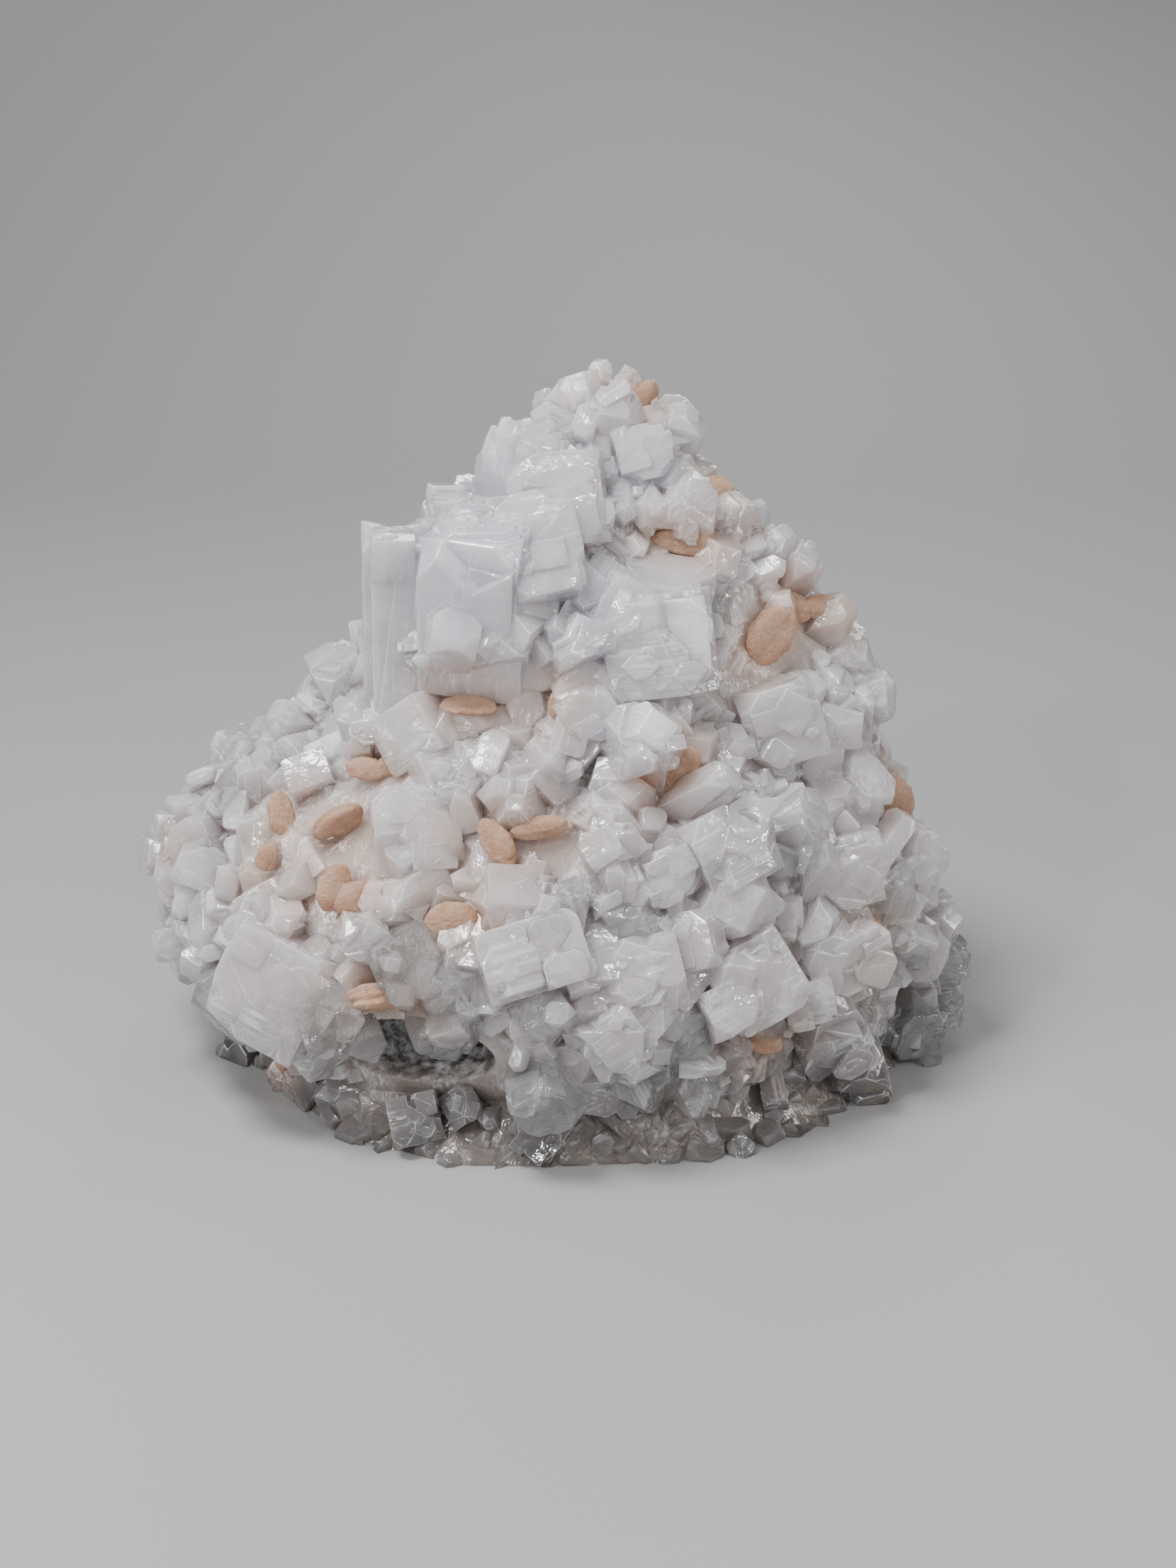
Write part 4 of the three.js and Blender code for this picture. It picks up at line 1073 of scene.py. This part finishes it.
def apophyllite(name):
    """Apophyllite, milky by scattering inside it."""
    glassiness, transmission, path, roughness, relief, edge_white = APOPHYLLITE[name]
    shading = Shading(name)
    colour = shading.mix(shading.frost_and_glints(), shading.grown_colour(glassiness), FROST_AND_HIGHLIGHT_WHITE)
    if edge_white:
        # Worn edges whitened: frost of wear and a painted highlight along them.
        frost = shading.range(shading.noise("edge frost and highlight"), 0.42, 0.68, 0, edge_white)
        colour = shading.mix(frost, colour, FROST_AND_HIGHLIGHT_WHITE)
    normal = shading.striated(relief)
    return shading.finished(
        Base_Color=colour, Transmission_Weight=transmission, Subsurface_Weight=MILKY_SHARE,
        Subsurface_Radius=MILKY_RADIUS, Subsurface_Scale=path, IOR=APOPHYLLITE_IOR, Normal=normal,
        Roughness=shading.range(shading.noise("dull patches"), 0.35, 0.7, *roughness),
        Coat_Weight=shading.range(shading.noise("coat patches"), 0.4, 0.58, 0.25, 1),
        Coat_Normal=normal, Coat_Roughness=COAT_ROUGHNESS,
    )


def clear_apophyllite():
    shading = Shading("clear apophyllite")
    colour = shading.mix(shading.times(shading.attribute("tone"), 0.5), GLASS_WHITE, GLASS_GREY)
    colour = shading.mix(shading.times(shading.attribute("blush"), 0.5), colour, GLASS_PEACH)
    return shading.finished(
        Base_Color=colour, Transmission_Weight=0.87, IOR=APOPHYLLITE_IOR, Normal=shading.striated(0.3),
        Roughness=shading.range(shading.noise("veils"), 0.45, 0.7, 0.02, 0.25),
    )


def stilbite_material():
    shading = Shading("stilbite")
    grain = shading.noise("leaf grain")
    streaks = shading.times(shading.noise("leaf streaks", shading.grown_along()), 0.4)
    patches = shading.range(shading.noise("leaf patches"), 0.35, 0.65, 0, 1)
    colour = shading.mix(patches, SHEAF_TAN, SHEAF_PEACH)
    colour = shading.mix(shading.range(grain, 0.5, 0.7, 0, 0.7), colour, SHEAF_GRAIN)
    colour = shading.mix(shading.times(shading.attribute("tone"), 0.3), colour, SHEAF_BROWN)
    return shading.finished(
        Base_Color=colour, Subsurface_Weight=SHEAF_MILKY_SHARE, Subsurface_Radius=SHEAF_RADIUS,
        Subsurface_Scale=SHEAF_PATH, IOR=STILBITE_IOR, Roughness=shading.range(grain, 0.3, 0.7, 0.4, 0.7),
        Normal=shading.bump(shading.plus(streaks, grain), RELIEF / 2, 0.7),
    )


clear = clear_apophyllite()
materials = {
    "milky": (apophyllite("milky apophyllite"), apophyllite("milky edges")),
    "cloudy": (apophyllite("cloudy apophyllite"), apophyllite("cloudy edges")),
    "clear": (clear, clear),
}
stilbite = stilbite_material()


# Crystals gathered by how clear they are

CLEAR_FROM = 0.65
WORN_FROM = 8.0
UPRIGHT = 0.75
# Wear of the edges in mm: the least, the most, and how it grows with a crystal's width past a limit.
LEAST_WEAR, MOST_WEAR = 0.12, 0.45
WEAR_GROWTH, WEAR_LIMIT = 0.014, 9
BIG_CHIPPED, SMALL_CHIPPED = 0.6, 0.2
MOUND_TONE = 0.5
# Shares of the small crystals: milky ones among those between the big ones, and in the crowd on the skin
# clear ones above, the clear ones added towards the foot, and all that aren't milky.
MILKY_BETWEEN = 0.2
CROWD_CLEAR, CROWD_CLEAR_BELOW, CROWD_NOT_MILKY = 0.1, 0.15, 0.75
LOW_BELOW = 90

shown = shown_crystals()
big = shown + cover_crystals(shown, sheaves)
placed = Placed(big, sheaves)
growth_draw = random_draws(11)
masses = {"milky": Islands(), "cloudy": Islands(), "clear": Islands()}

masses["milky"].add(mound_points, mound_faces, np.eye(3), MOUND_TONE)
for crystal in big:
    tone = growth_draw()
    wear = LEAST_WEAR + WEAR_GROWTH * max(0, 2 * crystal.a - WEAR_LIMIT)
    kind = "clear" if crystal.clear >= CLEAR_FROM else "cloudy"
    for block in parallel_growth(crystal, growth_draw):
        cuts = chips(growth_draw, BIG_CHIPPED if block.a < WORN_FROM else 1)
        if block.a > WORN_FROM and block.axes[2, 2] > UPRIGHT:
            cuts += worn_top(growth_draw)
        block_tone = 0.75 * tone + 0.25 * growth_draw()
        masses[kind].add_crystal(block, block_tone, wear, cuts)
    if kind == "cloudy":
        masses["milky"].add_crystal(milky_heart(crystal, growth_draw), tone, wear)
for crystal in crystals_on_skin(BED, placed):
    masses["milky"].add_crystal(crystal, growth_draw(), 0)


def add_small(kind, crystal):
    masses[kind].add_crystal(crystal, growth_draw(), LEAST_WEAR, chips(growth_draw, SMALL_CHIPPED))


for crystal in bridging_crystals(placed) + perched_crystals(placed):
    add_small("milky" if crystal.clear < MILKY_BETWEEN else "cloudy", crystal)
for crystal in crystals_on_skin(CROWD, placed):
    lowness = 1 - min(1, max(0, crystal.point[2] / LOW_BELOW))
    if crystal.clear < CROWD_CLEAR + CROWD_CLEAR_BELOW * lowness:
        add_small("clear", crystal)
    else:
        add_small("cloudy" if crystal.clear < CROWD_NOT_MILKY else "milky", crystal)

pieces = {
    kind: island_object(kind + "_crystals", islands, MOST_WEAR, materials[kind], kind != "clear")
    for kind, islands in masses.items()
}


# Stilbite sheaves

LEAF_STEPS, LEAF_ROUND = 22, 16
SHEAF_SUNK = 1.5
# Each leaf's layers: thickness as a share of the sheaf's, how far apart they lie, and degrees between them.
LAYER_THICK, LAYER_APART, LAYER_ASIDE = 0.62, 0.13, 0.05
LAYER_TILT, LAYER_TURN = 16, 7


def leaf(long, wide, thick, draw):
    """Corners and faces of one leaf of a sheaf, long along X: a flat lens with a ragged, layered rim."""
    phases = [2 * math.pi * draw() for _ in range(4)]
    tip = 2.0 + 0.7 * draw()
    points = [(-long / 2, 0, 0)]
    for step in range(1, LEAF_STEPS):
        u = math.sin(math.pi * (step / LEAF_STEPS - 0.5))
        end = (1 - abs(u) ** tip) ** 0.6
        for k in range(LEAF_ROUND):
            angle = 2 * math.pi * k / LEAF_ROUND
            ragged = 1 + 0.035 * math.sin(9 * u + 3 * angle + phases[0])
            ragged += 0.03 * math.sin(17 * u + phases[1])
            across = math.copysign(abs(math.cos(angle)) ** 0.8, math.cos(angle))
            up = math.copysign(abs(math.sin(angle)) ** 1.25, math.sin(angle))
            ridge = 1 + 0.06 * math.sin(6 * across + phases[2])
            ridge += 0.04 * math.sin(13 * u + 4 * across + phases[3])
            y = wide / 2 * end * across * ragged
            points.append((u * long / 2, y, thick / 2 * end**0.75 * up * ridge))
    points.append((long / 2, 0, 0))
    faces = []
    last = len(points) - 1
    for k in range(LEAF_ROUND):
        after = (k + 1) % LEAF_ROUND
        faces.append([0, 1 + after, 1 + k])
        faces.append([last, last - LEAF_ROUND + k, last - LEAF_ROUND + after])
        for step in range(LEAF_STEPS - 2):
            low, high = 1 + step * LEAF_ROUND, 1 + (step + 1) * LEAF_ROUND
            faces.append([low + after, high + after, high + k, low + k])
    return np.array(points), faces


def turned(points, degrees, axis):
    """Points turned about one of their own axes, 0 for X or 2 for Z."""
    cos, sin = math.cos(math.radians(degrees)), math.sin(math.radians(degrees))
    turn = np.eye(3)
    one, other = (1, 2) if axis == 0 else (0, 1)
    turn[[one, one, other, other], [one, other, one, other]] = cos, sin, -sin, cos
    return points @ turn


def sheaf_object(sheaf, draw):
    """A sheaf: one leaf or two, each of three layers that differ a little in length and direction."""
    islands = Islands()
    growth_axes = np.roll(sheaf.axes, 2, axis=1)
    one_leaf = ((0, 0, sheaf.long, sheaf.wide, 0),)
    for x, y, long, wide, degrees in LEAVES.get(sheaf.name, one_leaf):
        for layer in (-1, 0, 1):
            size = 1 - 0.1 * abs(layer) - 0.06 * draw()
            points, faces = leaf(size * long, size * wide, LAYER_THICK * sheaf.thick, draw)
            points = turned(points, LAYER_TILT * layer + 8 * (draw() - 0.5), 0)
            points = turned(points, degrees + LAYER_TURN * layer * draw(), 2)
            up = LAYER_APART * layer * sheaf.thick - SHEAF_SUNK
            points += [x, y + LAYER_ASIDE * layer * wide, up]
            islands.add(points @ sheaf.axes.T + sheaf.point, faces, growth_axes, draw())
    obj = island_object("sheaf_" + sheaf.name, islands, 0, (stilbite,))
    for face in obj.data.polygons:
        face.use_smooth = True
    return obj


sheaf_draw = random_draws(5)
sheaf_pieces = {sheaf.name: sheaf_object(sheaf, sheaf_draw) for sheaf in sheaves}

# How far from a sheaf the crystals blush, in mm, and how steeply that fades.
BLUSH_REACH, BLUSH_POWER = 11, 1.4
# The middle line and the half width of a sheaf, as shares of its length and width.
SHEAF_LINE, SHEAF_SIDE = 0.35, 0.4
# Depth paints the crevices brown and shaded, and the hollow with painted shadow.
# Depth is 0 up to 2 mm above the mound's skin and 1 from half a millimetre under it, and rises by up to 0.9
# more from 2 mm under it, where only the hollow is.
CREVICE_UNDER, CREVICE_RANGE = 0.5, 2.5
# How the painted shadow of the hollow grows with depth under the skin.
HOLLOW_UNDER, HOLLOW_RANGE, HOLLOW_MOST = 2, 6, 0.9


def depth_at(point):
    place, normal, _, distance = mound_tree.find_nearest(Vector(point))
    height = distance if (Vector(point) - place).dot(normal) > 0 else -distance
    crevice = min(1, max(0, 1 - (height + CREVICE_UNDER) / CREVICE_RANGE))
    return crevice + min(HOLLOW_MOST, max(0, -height - HOLLOW_UNDER) / HOLLOW_RANGE)


def growth_attributes(mesh):
    """Writes at each corner how near the next sheaf is, and how deep between the crystals it lies."""
    points = np.empty(len(mesh.vertices) * 3)
    mesh.vertices.foreach_get("co", points)
    points = points.reshape(-1, 3) / MM - SHIFT
    nearest = np.full(len(points), np.inf)
    for sheaf in sheaves:
        along = sheaf.axes[:, 0]
        offsets = points - sheaf.point
        reach = np.clip(offsets @ along, -SHEAF_LINE * sheaf.long, SHEAF_LINE * sheaf.long)
        distance = np.linalg.norm(offsets - reach[:, None] * along, axis=1)
        nearest = np.minimum(nearest, distance - SHEAF_SIDE * sheaf.wide)
    write_attribute(mesh, "blush", "POINT", np.clip(1 - nearest / BLUSH_REACH, 0, 1) ** BLUSH_POWER)
    write_attribute(mesh, "depth", "POINT", [depth_at(point) for point in points])


for kind, piece in pieces.items():
    growth_attributes(piece.data)
    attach(piece, "root")
    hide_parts("apophyllite_crystals")
for name, piece in sheaf_pieces.items():
    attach(piece, "root")
    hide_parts("stilbite_" + name)


# Floor, backdrop, lights and camera

SWEEP = {
    "front": -1.1, "bend": 0.55, "radius": 0.45, "steps": 16, "high": 1.5, "half": 1.8, "under": 0.0001,
}
PAPER_GREY, PAPER_ROUGHNESS = (0.40, 0.40, 0.40, 1), 0.7

# Lights: place, height of what it looks at, and size, all in metres, then watts and colour.
LIGHTS = {
    "top": ((-0.22, -0.18, 0.7), 0.08, (0.26, 0.2), 5.8, (0.97, 0.985, 1)),
    "left": ((-0.7, -0.5, 0.4), 0.08, (0.1, 0.45), 2.4, (1, 0.98, 0.97)),
    "right": ((0.75, -0.25, 0.35), 0.07, (0.1, 0.45), 1.6, (1, 0.96, 0.93)),
    "back": ((0.15, 0.75, 0.55), 0.08, (0.4, 0.3), 1.8, (0.98, 0.99, 1)),
    "spark left": ((-0.42, -0.62, 0.62), 0.08, (0.07, 0.07), 1.6, (1, 1, 1)),
    "spark right": ((0.5, -0.55, 0.5), 0.08, (0.06, 0.06), 1.0, (1, 0.98, 0.96)),
    "front": ((0.15, -0.9, 0.35), 0.07, (0.5, 0.3), 0.9, (1, 0.98, 0.97)),
}
ROOM_COLOUR, ROOM_STRENGTH = (0.97, 0.97, 1, 1), 0.3


def sweep_object():
    """One pale sheet: the floor, and a soft bend up into the backdrop."""
    profile = [(SWEEP["front"], 0.0), (SWEEP["bend"], 0.0)]
    for step in range(1, SWEEP["steps"] + 1):
        angle = math.pi / 2 * step / SWEEP["steps"]
        y = SWEEP["bend"] + SWEEP["radius"] * math.sin(angle)
        profile.append((y, SWEEP["radius"] * (1 - math.cos(angle))))
    profile.append((SWEEP["bend"] + SWEEP["radius"], SWEEP["high"]))
    points = [(x, y, z - SWEEP["under"]) for y, z in profile for x in (-SWEEP["half"], SWEEP["half"])]
    faces = [[2 * row, 2 * row + 1, 2 * row + 3, 2 * row + 2] for row in range(len(profile) - 1)]
    mesh = bpy.data.meshes.new("sweep")
    mesh.from_pydata(points, [], faces)
    for face in mesh.polygons:
        face.use_smooth = True
    paper = Shading("pale paper").finished(Base_Color=PAPER_GREY, Roughness=PAPER_ROUGHNESS)
    mesh.materials.append(paper)
    return in_scene("sweep", mesh)


sweep_object()
for name, (place, aim_height, size, watts, colour) in LIGHTS.items():
    light = bpy.data.lights.new(name, "AREA")
    light.shape = "RECTANGLE"
    light.size, light.size_y = size
    light.energy = watts
    light.color = colour
    lamp = in_scene(name, light)
    lamp.location = place
    sight = Vector((0, 0, aim_height)) - Vector(place)
    lamp.rotation_euler = sight.to_track_quat("-Z", "Y").to_euler()

world = bpy.data.worlds.new("soft room")
world.use_nodes = True
background = world.node_tree.nodes["Background"]
background.inputs["Color"].default_value = ROOM_COLOUR
background.inputs["Strength"].default_value = ROOM_STRENGTH
bpy.context.scene.world = world

SENSOR = 36.0
camera = bpy.data.cameras.new("camera")
camera.sensor_fit = "VERTICAL"
camera.sensor_height = SENSOR
camera.lens = SENSOR * DISTANCE / (PICTURE_HEIGHT * PIXEL)
camera.clip_start = 0.01
camera_object = in_scene("camera", camera)
camera_object.location = (EYE + SHIFT) * MM
camera_object.rotation_euler = (math.pi / 2 - ELEVATION, 0, 0)
bpy.context.scene.camera = camera_object
